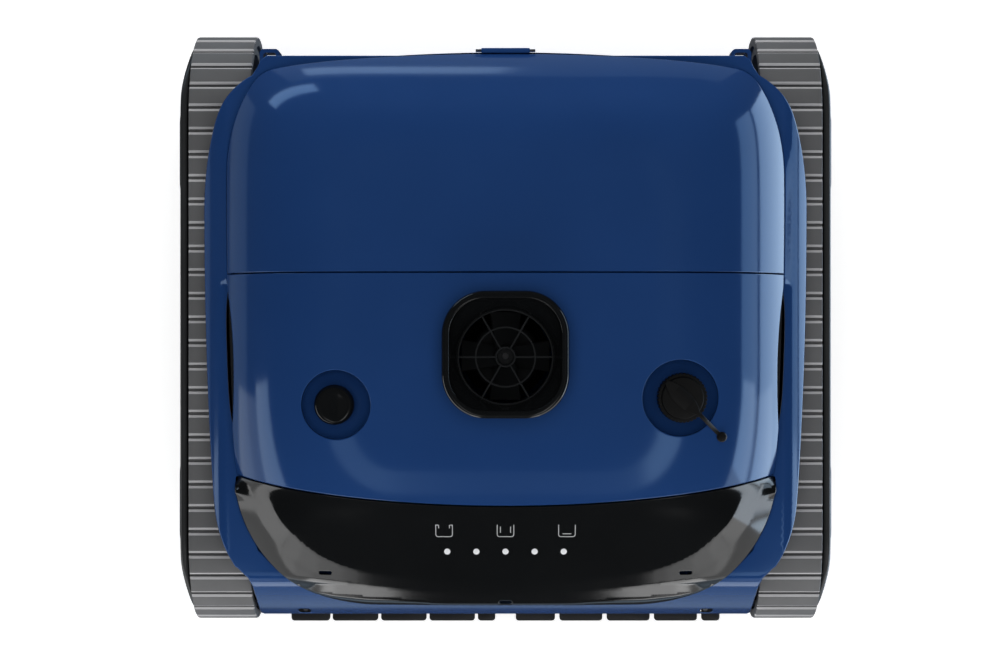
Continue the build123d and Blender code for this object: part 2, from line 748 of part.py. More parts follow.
# ---- power button --------------------------------------------------------------
def pocket(centre, inner, lip, hole):
    """A cup that hangs in a round hole of the front cover, its mouth following the cover's skin."""
    with BuildPart() as cup:
        with BuildSketch(Plane.XY.offset(pocket_z - 2)):
            with Locations(centre):
                Circle(inner + lip)
        extrude(amount=30)
        with BuildSketch(Plane.XY.offset(pocket_z)):
            with Locations(centre):
                Circle(inner)
        extrude(amount=30, mode=Mode.SUBTRACT)
        with BuildSketch(Plane.XY.offset(pocket_z - 3)):
            with Locations(hole):
                Circle(4)
        extrude(amount=10, mode=Mode.SUBTRACT)
        add(under_crown, mode=Mode.INTERSECT)
    return cup.part


with BuildPart() as button_cup:
    add(pocket(button_cup_at, 21.5, 2.5, button_at))
button_cup.part.label = "button_cup"
export_step(button_cup.part, "parts/button_cup.step")

button_bottom, button_top = pocket_z + 3, pocket_z + 12.5
with BuildPart() as power_button:
    with BuildSketch(Plane.XY.offset(button_bottom)):
        with Locations(button_at):
            Circle(button_radius)
    extrude(amount=button_top - button_bottom)
    fillet(power_button.edges().group_by(Axis.Z)[-1], 4)
    with BuildSketch(Plane.XY.offset(pocket_z - 9)):
        with Locations(button_at):
            Circle(3.6)
    extrude(amount=14)
power_button.part.label = "power_button"
export_step(power_button.part, "parts/power_button.step")

with BuildPart() as button_spring:
    with BuildSketch(Plane.XY.offset(pocket_z + 0.05)):
        with Locations(button_at):
            Circle(7)
            Circle(5.5, mode=Mode.SUBTRACT)
    extrude(amount=button_bottom - pocket_z - 0.1)
button_spring.part.label = "button_spring"
export_step(button_spring.part, "parts/button_spring.step")

# ---- charging port -------------------------------------------------------------
with BuildPart() as charging_cup:
    add(pocket(cap_cup_at, 23.7, 2.5, cap_at))
charging_cup.part.label = "charging_cup"
export_step(charging_cup.part, "parts/charging_cup.step")

socket_radius, socket_top = 9.0, pocket_z + 6
with BuildPart() as charging_socket:
    with BuildSketch(Plane.XY.offset(pocket_z + 0.1)):
        with Locations(cap_at):
            Circle(socket_radius)
            Circle(6.5, mode=Mode.SUBTRACT)
    extrude(amount=socket_top - pocket_z - 0.1)
    with BuildSketch(Plane.XY.offset(pocket_z + 0.1)):
        with Locations(cap_at):
            Circle(socket_radius)
    extrude(amount=1.5)
    with BuildSketch(Plane.XY.offset(pocket_z + 1)):
        with Locations(cap_at):
            with PolarLocations(3, 3):
                Circle(0.8)
    extrude(amount=4)
    with BuildSketch(Plane.XY.offset(pocket_z - 12)):
        with Locations(cap_at):
            Circle(3.9)
    extrude(amount=12.5)
charging_socket.part.label = "charging_socket"
export_step(charging_socket.part, "parts/charging_socket.step")

cap_bottom, cap_top, knurl_count = pocket_z + 1.6, pocket_z + 15.0, 40
with BuildPart() as charging_cap:
    with BuildSketch(Plane.XY.offset(cap_bottom)):
        with Locations(cap_at):
            Circle(cap_radius)
            with PolarLocations(cap_radius, knurl_count):
                Circle(0.7, mode=Mode.SUBTRACT)
    extrude(amount=cap_top - cap_bottom - 2)
    with BuildSketch(Plane.XY.offset(cap_top - 2)):
        with Locations(cap_at):
            Circle(13)
    extrude(amount=2)
    fillet(charging_cap.edges().group_by(Axis.Z)[-1], 1.2)
    with BuildSketch(Plane.XY.offset(cap_bottom)):
        with Locations(cap_at):
            Circle(socket_radius + 2)
    extrude(amount=6.5, mode=Mode.SUBTRACT)
charging_cap.part.label = "charging_cap"
export_step(charging_cap.part, "parts/charging_cap.step")

with BuildPart() as cap_seal:
    with BuildSketch(Plane.XY.offset(cap_bottom + 2)):
        with Locations(cap_at):
            Circle(socket_radius + 1.95)
            Circle(socket_radius + 0.35, mode=Mode.SUBTRACT)
    extrude(amount=1.4)
cap_seal.part.label = "cap_seal"
export_step(cap_seal.part, "parts/cap_seal.step")

strap_z, strap_thick = cap_top + 0.1, 1.2
with BuildPart() as tether_strap:
    run_x, run_y = tether_end[0] - cap_at[0], tether_end[1] - cap_at[1]
    run = hypot(run_x, run_y)
    strap_plane = Plane((cap_at[0], cap_at[1], 0), x_dir=(run_x, run_y, 0), z_dir=(0, 0, 1))
    with BuildSketch(strap_plane.offset(pocket_z)):
        with BuildLine():
            ThreePointArc((-14, 0), (-2, 5.2), (15, 1.3))
            Line((15, 1.3), (run + 2, 1.3))
            Line((run + 2, 1.3), (run + 2, -1.3))
            Line((run + 2, -1.3), (15, -1.3))
            ThreePointArc((15, -1.3), (-2, -5.2), (-14, 0))
        make_face()
    extrude(amount=20)
    with BuildSketch(Plane(strap_plane.origin, x_dir=strap_plane.x_dir,
                           z_dir=strap_plane.x_dir.cross(Vector(0, 0, 1)))):
        with BuildLine():
            Polyline((-15, strap_z), (17, strap_z), (26, 195.4), (run - 1.5, 190.3), (run + 4, 190.3),
                     (run + 4, 190.3 + strap_thick), (run - 1.5, 190.3 + strap_thick),
                     (26, 195.4 + strap_thick), (17, strap_z + strap_thick),
                     (-15, strap_z + strap_thick), (-15, strap_z))
        make_face()
    extrude(amount=12, both=True, mode=Mode.INTERSECT)
    with BuildSketch(Plane.XY.offset(178)):
        with Locations(tether_end):
            Circle(2.4)
    extrude(amount=12.5)
tether_strap.part.label = "tether_strap"
export_step(tether_strap.part, "parts/tether_strap.step")

# ---- filter basket -------------------------------------------------------------
basket_mid = (basket_front + basket_rear) / 2
basket_depth = basket_rear - basket_front
flap_hinge_y, flap_z = 97.0, basket_bottom + 4.2
port_half, port_front, port_rear = 60.0, 98.0, 118.0
with BuildPart() as filter_basket:
    with BuildSketch(Plane.XY.offset(basket_bottom)):
        with Locations((0, basket_mid)):
            RectangleRounded(2 * basket_half, basket_depth, 14)
    extrude(amount=basket_top - basket_bottom)
    with BuildSketch(Plane.XY.offset(basket_bottom + 2)):
        with Locations((0, basket_mid)):
            RectangleRounded(2 * basket_half - 5, basket_depth - 5, 12)
    extrude(amount=basket_top, mode=Mode.SUBTRACT)
    with BuildSketch(Plane.XY.offset(basket_top - 3)):
        with Locations((0, basket_mid)):
            RectangleRounded(2 * basket_half + 6, basket_depth + 6, 16)
            RectangleRounded(2 * basket_half - 4, basket_depth - 4, 12, mode=Mode.SUBTRACT)
    extrude(amount=3)
    with BuildSketch(Plane.XY.offset(basket_bottom - 1)):
        with Locations((0, (port_front + port_rear) / 2)):
            Rectangle(2 * port_half, port_rear - port_front)
    extrude(amount=6, mode=Mode.SUBTRACT)
    # windows for the mesh, five along each long wall and two in each end
    with BuildSketch(Plane.XZ.offset(-basket_rear - 5)):
        with Locations((0, 84)):
            with GridLocations(42, 1, 5, 1):
                RectangleRounded(36, 78, 4)
    extrude(amount=basket_depth + 10, mode=Mode.SUBTRACT)
    with BuildSketch(Plane.YZ.offset(-basket_half - 5)):
        with Locations((basket_mid, 80)):
            with GridLocations(33, 1, 2, 1):
                RectangleRounded(27, 70, 4)
    extrude(amount=2 * basket_half + 10, mode=Mode.SUBTRACT)
    # pivot holes of the handle
    with BuildSketch(Plane.YZ.offset(-basket_half - 5)):
        with Locations((handle_y, handle_z - 6)):
            Circle(2.6)
    extrude(amount=2 * basket_half + 10, mode=Mode.SUBTRACT)
filter_basket.part.label = "filter_basket"
export_step(filter_basket.part, "parts/filter_basket.step")

with BuildPart() as filter_mesh:
    with BuildSketch(Plane.XY.offset(basket_bottom + 2.1)):
        with Locations((0, basket_mid)):
            RectangleRounded(2 * basket_half - 5.2, basket_depth - 5.2, 11.9)
            RectangleRounded(2 * basket_half - 6.8, basket_depth - 6.8, 11.1, mode=Mode.SUBTRACT)
    extrude(amount=92)
filter_mesh.part.label = "filter_mesh"
export_step(filter_mesh.part, "parts/filter_mesh.step")

bail_half, bail_reach, bail_wire = basket_half - 6.0, 50.0, 2.4
bail_z = handle_z - 6
with BuildPart() as basket_handle:
    with BuildSketch(Plane.XY.offset(bail_z - bail_wire)):
        with Locations((0, handle_y + bail_reach / 2)):
            Rectangle(2 * bail_half, bail_reach + 8)
            Rectangle(2 * bail_half - 10, bail_reach - 2, mode=Mode.SUBTRACT)
        with Locations((0, handle_y - 3)):
            Rectangle(2 * bail_half - 10, 8, mode=Mode.SUBTRACT)
    extrude(amount=2 * bail_wire)
    with BuildSketch(Plane.YZ.offset(-basket_half + 0.2)):
        with Locations((handle_y, bail_z)):
            Circle(2.55)
    extrude(amount=8)
    with BuildSketch(Plane.YZ.offset(basket_half - 8.2)):
        with Locations((handle_y, bail_z)):
            Circle(2.55)
    extrude(amount=8)
basket_handle.part.label = "basket_handle"
export_step(basket_handle.part, "parts/basket_handle.step")

with BuildPart() as inlet_flap:
    with BuildSketch(Plane.XY.offset(flap_z - 1)):
        with Locations((0, 108.5)):
            Rectangle(2 * port_half + 6, 23)
    extrude(amount=2)
    with BuildSketch(Plane.YZ.offset(-port_half - 5)):
        with Locations((flap_hinge_y - 0.4, flap_z)):
            Circle(1.8)
    extrude(amount=2 * port_half + 10)
inlet_flap.part.label = "inlet_flap"
export_step(inlet_flap.part, "parts/inlet_flap.step")


# ---- gears ---------------------------------------------------------------------
def involute(angle):
    return tan(angle) - angle


def gear_plan(teeth, first_tooth):
    """Involute spur gear outline; first_tooth is the direction of one tooth in degrees."""
    pressure = radians(20)
    pitch = gear_module * teeth / 2
    base = pitch * cos(pressure)
    tip, root = pitch + 0.8 * gear_module, pitch - 1.1 * gear_module
    backlash = 0.25
    half_tooth = pi / (2 * teeth) - backlash / (2 * pitch)
    start = max(base, root) + 0.01
    flank = []
    for i in range(5):
        radius = start + (tip - start) * i / 4
        lean = half_tooth + involute(pressure) - involute(acos(base / radius))
        flank.append((radius * cos(lean), radius * sin(lean)))
    mirrored = [(x, -y) for x, y in flank]
    with BuildSketch() as plan:
        Circle(root)
        with PolarLocations(0, teeth, start_angle=first_tooth):
            with BuildSketch(mode=Mode.PRIVATE) as tooth:
                with BuildLine():
                    Spline(*flank)
                    Line(flank[-1], mirrored[-1])
                    Spline(*mirrored)
                    Polyline(mirrored[0], (root - 1, mirrored[0][1]), (root - 1, flank[0][1]), flank[0])
                make_face()
            add(tooth.sketch)
    return plan.sketch


def mating_tooth(direction, tooth, teeth, other_teeth):
    """Direction of a tooth on the other gear, so that the two are in mesh at rest."""
    phase = (tooth - direction) / (360 / teeth)
    return direction + 180 - (360 / other_teeth) * (phase + 0.5)


brush_direction = degrees(atan2(brush_z - wheel_z, brush_y - wheel_y[0]))
wheel_tooth = 0.0
brush_tooth = mating_tooth(brush_direction, wheel_tooth, wheel_teeth, brush_teeth)
pinion_tooth = mating_tooth(0.0, wheel_tooth, wheel_teeth, pinion_teeth)


# ---- wheels, axles and gears ---------------------------------------------------
spoke_holes = 6
with BuildPart() as wheel_front_right:
    with BuildSketch(Plane.YZ.offset(track_inner + 2)):
        with Locations((wheel_y[0], wheel_z)):
            Circle(wheel_radius)
            Circle(axle_radius, mode=Mode.SUBTRACT)
    extrude(amount=36)
    with BuildSketch(Plane.YZ.offset(track_inner + 2)):
        with Locations((wheel_y[0], wheel_z)):
            Circle(wheel_radius - 5)
            Circle(13, mode=Mode.SUBTRACT)
    extrude(amount=14, mode=Mode.SUBTRACT)
    with BuildSketch(Plane.YZ.offset(track_inner + 22)):
        with Locations((wheel_y[0], wheel_z)):
            Circle(wheel_radius - 5)
            Circle(13, mode=Mode.SUBTRACT)
    extrude(amount=20, mode=Mode.SUBTRACT)
    with BuildSketch(Plane.YZ.offset(track_inner)):
        with Locations((wheel_y[0], wheel_z)):
            with PolarLocations(31, spoke_holes):
                Circle(10)
    extrude(amount=40, mode=Mode.SUBTRACT)

with BuildPart() as wheel_rear_right:
    add(wheel_front_right.part.moved(Location((0, wheel_y[1] - wheel_y[0], 0))))

with BuildPart() as axle_front_right:
    with BuildSketch(Plane.YZ.offset(gear_x[0] - 1)):
        with Locations((wheel_y[0], wheel_z)):
            Circle(axle_radius)
    extrude(amount=track_inner + 37 - gear_x[0] + 1)

with BuildPart() as axle_rear_right:
    add(axle_front_right.part.moved(Location((0, wheel_y[1] - wheel_y[0], 0))))

with BuildPart() as wheel_gear_right:
    with BuildSketch(Plane.YZ.offset(gear_x[0])):
        with Locations((wheel_y[0], wheel_z)):
            add(gear_plan(wheel_teeth, wheel_tooth))
            Circle(axle_radius, mode=Mode.SUBTRACT)
            with PolarLocations(20, spoke_holes):
                Circle(6, mode=Mode.SUBTRACT)
    extrude(amount=gear_x[1] - gear_x[0])

with BuildPart() as drive_pinion_right:
    with BuildSketch(Plane.YZ.offset(gear_x[0])):
        with Locations((pinion_y, wheel_z)):
            add(gear_plan(pinion_teeth, pinion_tooth))
    extrude(amount=gear_x[1] - gear_x[0])
    with BuildSketch(Plane.YZ.offset(gear_x[0] - 16)):
        with Locations((pinion_y, wheel_z)):
            Circle(3)
    extrude(amount=17)

# ---- roller brush --------------------------------------------------------------
core_radius, brush_inner, brush_outer = 14.0, 7.0, 147.0
right_blocks = [(7.0, 34.0), (37.0, 66.5), (69.5, 99.0), (102.0, 131.5), (134.5, brush_outer)]
left_blocks = [(7.0, 19.0), (21.0, 52.2), (54.2, 85.4), (87.4, 118.7), (120.4, brush_outer)]
paddle_rows = 6

with BuildPart() as brush_core_right:
    with BuildSketch(Plane.YZ.offset(brush_inner)):
        with Locations((brush_y, brush_z)):
            Circle(core_radius - 2)
    extrude(amount=brush_outer - brush_inner)
    with BuildSketch(Plane.YZ.offset(1)):
        with Locations((brush_y, brush_z)):
            Circle(brush_shaft_radius)
    extrude(amount=gear_x[1] + 0.4 - 1)
    with BuildSketch(Plane.YZ.offset(gear_x[0])):
        with Locations((brush_y, brush_z)):
            add(gear_plan(brush_teeth, brush_tooth))
    extrude(amount=gear_x[1] - gear_x[0])


def brush_sleeve(blocks):
    """Rubber sleeve with rows of paddles; each block reaches between two distances from the middle."""
    with BuildPart() as sleeve:
        with BuildSketch(Plane.YZ.offset(brush_inner)):
            with Locations((brush_y, brush_z)):
                Circle(core_radius)
        extrude(amount=brush_outer - brush_inner)
        for inner, outer in blocks:
            with BuildSketch(Plane.YZ.offset(inner)):
                with Locations((brush_y, brush_z)):
                    with PolarLocations((core_radius + brush_radius) / 2 - 0.2, paddle_rows, start_angle=180):
                        Rectangle(brush_radius - core_radius + 0.4, 3.0)
            extrude(amount=outer - inner)
        with BuildSketch(Plane.YZ.offset(brush_inner - 1)):
            with Locations((brush_y, brush_z)):
                Circle(core_radius - 2)
        extrude(amount=brush_outer - brush_inner + 2, mode=Mode.SUBTRACT)
    return sleeve


with BuildPart() as brush_bearing:
    with BuildSketch(Plane.YZ.offset(-3)):
        with Locations((brush_y, brush_z)):
            Circle(8)
        with BuildLine():
            Polyline((brush_y, brush_z + 8), (brush_y, brush_z - 5), (bay_rear - 0.1, 22),
                     (bay_rear - 0.1, 70), (bay_rear - 12, 70), (brush_y, brush_z + 8))
        make_face()
        with Locations((brush_y, brush_z)):
            Circle(brush_shaft_radius + running, mode=Mode.SUBTRACT)
    extrude(amount=6)
brush_bearing.part.label = "brush_bearing"
export_step(brush_bearing.part, "parts/brush_bearing.step")

motor_inner, motor_outer = 98.0, 148.0
with BuildPart() as drive_motors:
    for side in (-1, 1):
        with BuildSketch(Plane.YZ.offset(min(side * motor_inner, side * motor_outer))):
            with Locations((pinion_y, wheel_z)):
                Circle(18)
        extrude(amount=motor_outer - motor_inner)
        with BuildSketch(Plane.XY.offset(tub_bottom + wall + 0.1)):
            with Locations((side * 123, pinion_y)):
                Rectangle(30, 30)
        extrude(amount=30)
        with BuildSketch(Plane.YZ.offset(side * 141.5 - 7.5)):
            with Locations((pinion_y, wheel_z)):
                Circle(3 + running)
        extrude(amount=15, mode=Mode.SUBTRACT)
drive_motors.part.label = "drive_motors"
export_step(drive_motors.part, "parts/drive_motors.step")

# ---- tracks, their frames and the side panels ----------------------------------
straight = wheel_y[1] - wheel_y[0]
track_mid = (wheel_y[0] + wheel_y[1]) / 2
groove_radius = track_radius - lug_height / 2
loop_length = 2 * straight + 2 * pi * track_radius


def loop_place(distance, radius):
    """Point and direction on the track's loop, by the distance from the rear top corner."""
    half_turn = pi * track_radius
    if distance < straight:
        return Location((wheel_y[1] - distance, wheel_z + radius), 0)
    if distance < straight + half_turn:
        turn = (distance - straight) / track_radius
        return Location((wheel_y[0] - radius * sin(turn), wheel_z + radius * cos(turn)), degrees(turn))
    if distance < 2 * straight + half_turn:
        return Location((wheel_y[0] + distance - straight - half_turn, wheel_z - radius), 0)
    turn = (distance - 2 * straight - half_turn) / track_radius
    return Location((wheel_y[1] + radius * sin(turn), wheel_z - radius * cos(turn)), degrees(turn))


def stadium(radius):
    with BuildSketch() as plan:
        with Locations((track_mid, wheel_z)):
            SlotCenterToCenter(straight, 2 * radius)
    return plan.sketch


with BuildPart() as track_right:
    with BuildSketch(Plane.YZ.offset(track_inner)):
        add(stadium(track_radius))
        add(stadium(track_radius - lug_height - belt_thickness), mode=Mode.SUBTRACT)
        for i in range(lug_count):
            place = loop_place((i + 0.5) * loop_length / lug_count, groove_radius + 0.25)
            with Locations(place):
                Rectangle(groove_width, lug_height + 0.5, mode=Mode.SUBTRACT)
    extrude(amount=track_outer - track_inner)

# Beam inside each track's loop, from the tub's wall to the side panel.
beam_front, beam_rear, beam_low, beam_high = -70.0, 76.0, 22.0, 98.0
with BuildPart() as track_frames:
    with BuildSketch(Plane.YZ.offset(tub_half + 0.1)):
        with Locations(((beam_front + beam_rear) / 2, (beam_low + beam_high) / 2)):
            RectangleRounded(beam_rear - beam_front, beam_high - beam_low, 10)
            with GridLocations(44, 1, 3, 1):
                RectangleRounded(34, 52, 6, mode=Mode.SUBTRACT)
    extrude(amount=track_outer + 1.4 - tub_half)
    mirror(about=Plane.YZ)
track_frames.part.label = "track_frames"
export_step(track_frames.part, "parts/track_frames.step")

panel_inner, panel_face, bulge = track_outer + 1.6, 212.4, 215.0
panel_radius = 54.0
with BuildPart() as side_panels:
    with BuildSketch(Plane.YZ.offset(panel_inner)):
        add(stadium(panel_radius))
    extrude(amount=panel_face - panel_inner)
    fillet(side_panels.edges().group_by(Axis.X)[-1], 2.5)
    for y in (-112.5, 118.5):
        with BuildSketch(Plane.YZ.offset(panel_face - 0.5)):
            with Locations((y, wheel_z)):
                RectangleRounded(100, 84, 38)
        extrude(amount=bulge - panel_face + 0.5)
    fillet(side_panels.edges().group_by(Axis.X)[-1], 2.0)
    mirror(about=Plane.YZ)
side_panels.part.label = "side_panels"
export_step(side_panels.part, "parts/side_panels.step")

right_pieces = {
    "wheel_front": wheel_front_right,
    "wheel_rear": wheel_rear_right,
    "axle_front": axle_front_right,
    "axle_rear": axle_rear_right,
    "wheel_gear": wheel_gear_right,
    "drive_pinion": drive_pinion_right,
    "brush_core": brush_core_right,
    "brush_sleeve": brush_sleeve(right_blocks),
    "track": track_right,
}
uneven_pieces = {"brush_sleeve": brush_sleeve(left_blocks)}
for name, right_piece in right_pieces.items():
    with BuildPart() as left_piece:
        mirror(uneven_pieces.get(name, right_piece).part, about=Plane.YZ)
    right_piece.part.label = f"{name}_right"
    export_step(right_piece.part, f"parts/{name}_right.step")
    left_piece.part.label = f"{name}_left"
    export_step(left_piece.part, f"parts/{name}_left.step")
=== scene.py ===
import json
from contextlib import contextmanager
from math import acos, asin, atan2, cos, degrees, hypot, pi, radians, sin, sqrt

import bmesh
import bpy
import numpy as np
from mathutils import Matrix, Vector
from mathutils.geometry import delaunay_2d_cdt


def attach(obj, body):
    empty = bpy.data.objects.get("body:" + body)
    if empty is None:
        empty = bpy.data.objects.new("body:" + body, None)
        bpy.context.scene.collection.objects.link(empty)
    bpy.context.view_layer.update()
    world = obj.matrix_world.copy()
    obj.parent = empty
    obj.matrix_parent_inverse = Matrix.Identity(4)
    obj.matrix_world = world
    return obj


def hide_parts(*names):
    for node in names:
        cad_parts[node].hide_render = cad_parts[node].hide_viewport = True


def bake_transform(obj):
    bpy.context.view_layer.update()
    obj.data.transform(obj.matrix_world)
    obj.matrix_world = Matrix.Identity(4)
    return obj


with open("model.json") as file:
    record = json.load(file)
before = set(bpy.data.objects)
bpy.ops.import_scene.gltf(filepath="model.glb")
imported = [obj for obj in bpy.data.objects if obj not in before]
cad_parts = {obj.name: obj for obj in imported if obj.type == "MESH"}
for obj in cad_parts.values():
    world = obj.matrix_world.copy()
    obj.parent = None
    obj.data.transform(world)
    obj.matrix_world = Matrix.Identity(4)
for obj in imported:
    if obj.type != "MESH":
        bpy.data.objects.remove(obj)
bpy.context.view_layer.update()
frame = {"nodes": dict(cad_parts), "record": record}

# Cordless tracked pool cleaner. The shapes are worked out in millimetres and built in metres. The
# front, with the roller brush, is towards -Y.
MM = 0.001
eye = np.array([0.0, 3.0, 1650.0])

# ---- driving dimensions, the same as the CAD's ---------------------------------
top_z, half_width, rear_y, front_y = 205.0, 178.0, 177.6, -180.0
wall, shoulder_drop, rim_z, seam_y = 3.0, 57.0, 143.5, 37.0
seam_gap = 0.35
lid_bottom = rim_z + 2.0
frame_bottom, frame_front, bumper_front, skirt_y = 124.0, -154.0, -190.3, 177.0
display_arc_mid, display_arc_side = -108.6, -91.0
wheel_z, wheel_front_y, wheel_rear_y = 60.0, -132.5, 138.5
track_radius, track_inner, track_outer, lug_count = 60.0, 166.0, 206.0, 60
brush_y, brush_z = -173.3, 31.1
outlet_y, throat_y, throat_radius = -13.5, -15.2, 30.0
button_at, button_cup_at = (-106.0, -44.8), (-104.6, -44.7)
cap_at, cap_cup_at, tether_end = (109.3, -40.5), (107.9, -40.5), (134.0, -64.8)
pocket_z, button_dish_radius, cap_dish_radius = 184.0, 21.5, 23.7
latch_z = 149.0


# ---- shared surfaces -----------------------------------------------------------
def smooth(value):
    t = np.clip(value, 0, 1)
    return t * t * (3 - 2 * t)


front_start, front_reach, front_drop, nose_slope = 20.0, 88.6, 25.0, 0.62
side_power, fall_power = 6.6, 6


def front_fall(y):
    """Fall of the covers towards the front, without the steep nose."""
    forward = np.maximum(-y - front_start, 0)
    return np.where(forward <= front_reach,
                    front_drop * (np.minimum(forward, front_reach) / front_reach) ** 2.2,
                    front_drop + nose_slope * (forward - front_reach))


def crown(x, y):
    """Height of the covers' skin."""
    side = np.abs(x) / half_width
    rear = np.maximum(y, 0) / half_width
    reach = (side**side_power + rear**side_power) ** (1 / side_power)
    return top_z - shoulder_drop * reach**fall_power - front_fall(y)


def inner_crown(x, y):
    scale = half_width / (half_width - wall)
    return crown(x * scale, y * scale) - wall


def rim(x, y):
    """Height of the fender frame's and the bumper's top face."""
    falls = ((15, np.abs(x) - half_width, 17, 1.7), (10, -y - 90, 70, 2), (24.5, -y - 156, 20, 1.75))
    z = rim_z
    for fall, beyond, reach, power in falls:
        z = z - fall * (np.maximum(0, beyond) / reach) ** power
    return z


def display_arc(x):
    """Joint line between the front cover and the display."""
    reach = 200.0
    bow = (display_arc_side - display_arc_mid) * (reach / 173) ** 2
    radius = (reach**2 + bow**2) / (2 * bow)
    return display_arc_mid + radius - np.sqrt(radius**2 - np.asarray(x, float) ** 2)


corner_radius = 92.0
corner_x, corner_y = 81.5, front_y + corner_radius
bevel_width, bevel_slope, facet_slope = 12.0, 0.9, 1.18


def to_display_edge(x, y):
    """Distance inwards from the display's outer edge."""
    x = np.abs(x)
    side = 173.6 - x
    front = y - front_y
    corner = corner_radius - np.hypot(x - corner_x, y - corner_y)
    return np.where((x > corner_x) & (y < corner_y), corner, np.where(y < corner_y, front, side))


def to_crease(x, y):
    """Distance inwards from the crease round the display's flat face: a wide arc with tighter ends."""
    x = np.abs(x)
    wide_radius, wide_y, end_radius, end_x = 460.0, 299.0, 76.6, 77.7
    end_y = wide_y - sqrt((wide_radius - end_radius) ** 2 - end_x**2)
    wide = wide_radius - np.hypot(x, y - wide_y)
    end = end_radius - np.hypot(x - end_x, np.minimum(y - end_y, 0))
    return np.where(x * (wide_y - end_y) > end_x * (wide_y - y), end, wide)


def flat_face(x, y):
    """Height of the display's flat face, carried on to its edges."""
    behind = display_arc(x) - y
    side = np.abs(x) / half_width
    return top_z - shoulder_drop * side ** (fall_power + 4 * smooth(behind / 30)) - front_fall(y)


def display_face(x, y):
    """Height of the display: a flat face, a bevel, a steeper facet and a lip at the bumper."""
    outside = np.maximum(-to_crease(x, y), 0)
    edge = np.maximum(to_display_edge(x, y), 0)
    across = (to_crease(x + 0.05, y) - to_crease(x - 0.05, y)) / 0.1
    along = (to_crease(x, y + 0.05) - to_crease(x, y - 0.05)) / 0.1
    fade = smooth((display_arc(x) - y) / 16)
    at_crease = flat_face(x + across * outside, y + along * outside)
    face = flat_face(x, y) * (1 - fade) + at_crease * fade
    lip = display_lip(x)
    bevel = bevel_reach(x, outside, edge)
    facet = np.maximum(outside + edge - lip - bevel, 0.5)
    fall = np.maximum(face - rim(x, y) - 2.5 - bevel_slope * bevel, 0)
    share = smooth(lip / 3)
    facet_fall = fall * (1 - share) + np.minimum(facet_slope * facet, fall) * share
    drop = bevel_slope * np.minimum(outside, bevel)
    drop = drop + facet_fall * np.clip((outside - bevel) / facet, 0, 1)
    drop = drop + (fall - facet_fall) * np.clip((lip - edge) / np.maximum(lip, 0.5), 0, 1) ** 1.4
    return face - drop * fade


def display_lip(x):
    """Width of the display's lip at the bumper."""
    width, dip = 8.5, 3.0
    return width * smooth((143 - np.abs(x)) / 52) - dip * smooth((85 - np.abs(x)) / 50)


def bevel_reach(x, outside, edge):
    """Width of the bevel outside the display's crease."""
    return np.clip(0.5 * (outside + edge - display_lip(x)), 0, bevel_width)


def crease_lines():
    """The display's crease, the outer end of its bevel and the start of its lip."""
    lines = [[], [], []]
    front = np.linspace(-178, -84, 600)
    for x in np.linspace(-172, 172, 260):
        outside = np.maximum(-to_crease(x, front), 0)
        edge = np.maximum(to_display_edge(x, front), 0)
        ways = [-to_crease(x, front), outside - bevel_reach(x, outside, edge), display_lip(x) - edge]
        for line, way in zip(lines, ways if abs(x) <= 132 else ways[:2]):
            change = np.nonzero(np.diff(np.sign(way)))[0]
            if len(change) and front[change[-1]] < display_arc(x) - 4:
                k = change[-1]
                part = way[k] / (way[k] - way[k + 1])
                line.append((x, front[k] + part * (front[k + 1] - front[k])))
    return lines


# ---- plan outlines, counter-clockwise ------------------------------------------
def arc(centre, radius, start, end, spacing=2.5):
    """Points of an arc, start and end in degrees, with its last point left out."""
    count = max(2, int(abs(radians(end - start)) * radius / spacing))
    turns = [radians(start + (end - start) * i / count) for i in range(count)]
    return [(centre[0] + radius * cos(t), centre[1] + radius * sin(t)) for t in turns]


def circle(centre, radius, count=96):
    return [(centre[0] + radius * cos(2 * pi * i / count), centre[1] + radius * sin(2 * pi * i / count))
            for i in range(count)]


def raised(plan, z):
    """Plan points at one height."""
    return [(x, y, z) for x, y in plan]


def sweep(centre_x, centre_y, radius, start, end, count=5):
    """Points of an arc with both its ends, angles in degrees."""
    turns = [radians(start + (end - start) * i / count) for i in range(count + 1)]
    return [(centre_x + radius * cos(t), centre_y + radius * sin(t)) for t in turns]


def block(x, y, width, tall, radius=0.0):
    """Corners of a rectangle round a point, for rounded."""
    signs = ((-1, -1), (1, -1), (1, 1), (-1, 1))
    return [(x + a * width / 2, y + b * tall / 2, radius) for a, b in signs]


def divided(loop, spacing):
    """The loop with its long edges divided."""
    points = []
    for (ax, ay), (bx, by) in zip(loop, loop[1:] + loop[:1]):
        count = max(1, int(hypot(bx - ax, by - ay) / spacing))
        points += [(ax + (bx - ax) * i / count, ay + (by - ay) * i / count) for i in range(count)]
    return points


def divided_open(points, count):
    """A given number of points, evenly spread along an open line."""
    line = np.array(points)
    run = np.concatenate([[0], np.cumsum(np.linalg.norm(np.diff(line, axis=0), axis=1))])
    places = np.linspace(0, run[-1], count)
    return list(zip(*(np.interp(places, run, line[:, i]).tolist() for i in range(2))))


def rounded(corners, spacing=1.0):
    """Polygon from (x, y, radius) corners, given counter-clockwise, with its corners rounded."""
    points = []
    for i, (x, y, radius) in enumerate(corners):
        here = Vector((x, y))
        before = (Vector(corners[i - 1][:2]) - here).normalized()
        after = (Vector(corners[(i + 1) % len(corners)][:2]) - here).normalized()
        if radius == 0:
            points.append((x, y))
            continue
        half = before.angle(after) / 2
        centre = here + (before + after).normalized() * (radius / sin(half))
        start = here + before * (radius / np.tan(half)) - centre
        end = here + after * (radius / np.tan(half)) - centre
        turn = start.angle_signed(end) * -1
        count = max(3, int(abs(turn) * radius / spacing))
        first = atan2(start.y, start.x)
        points += [(centre.x + radius * cos(first + turn * k / count),
                    centre.y + radius * sin(first + turn * k / count)) for k in range(count + 1)]
    return points


def mirrored(loop):
    """The same closed loop on the other side, in the same turning direction."""
    return [(-x, y) for x, y in reversed(loop)]


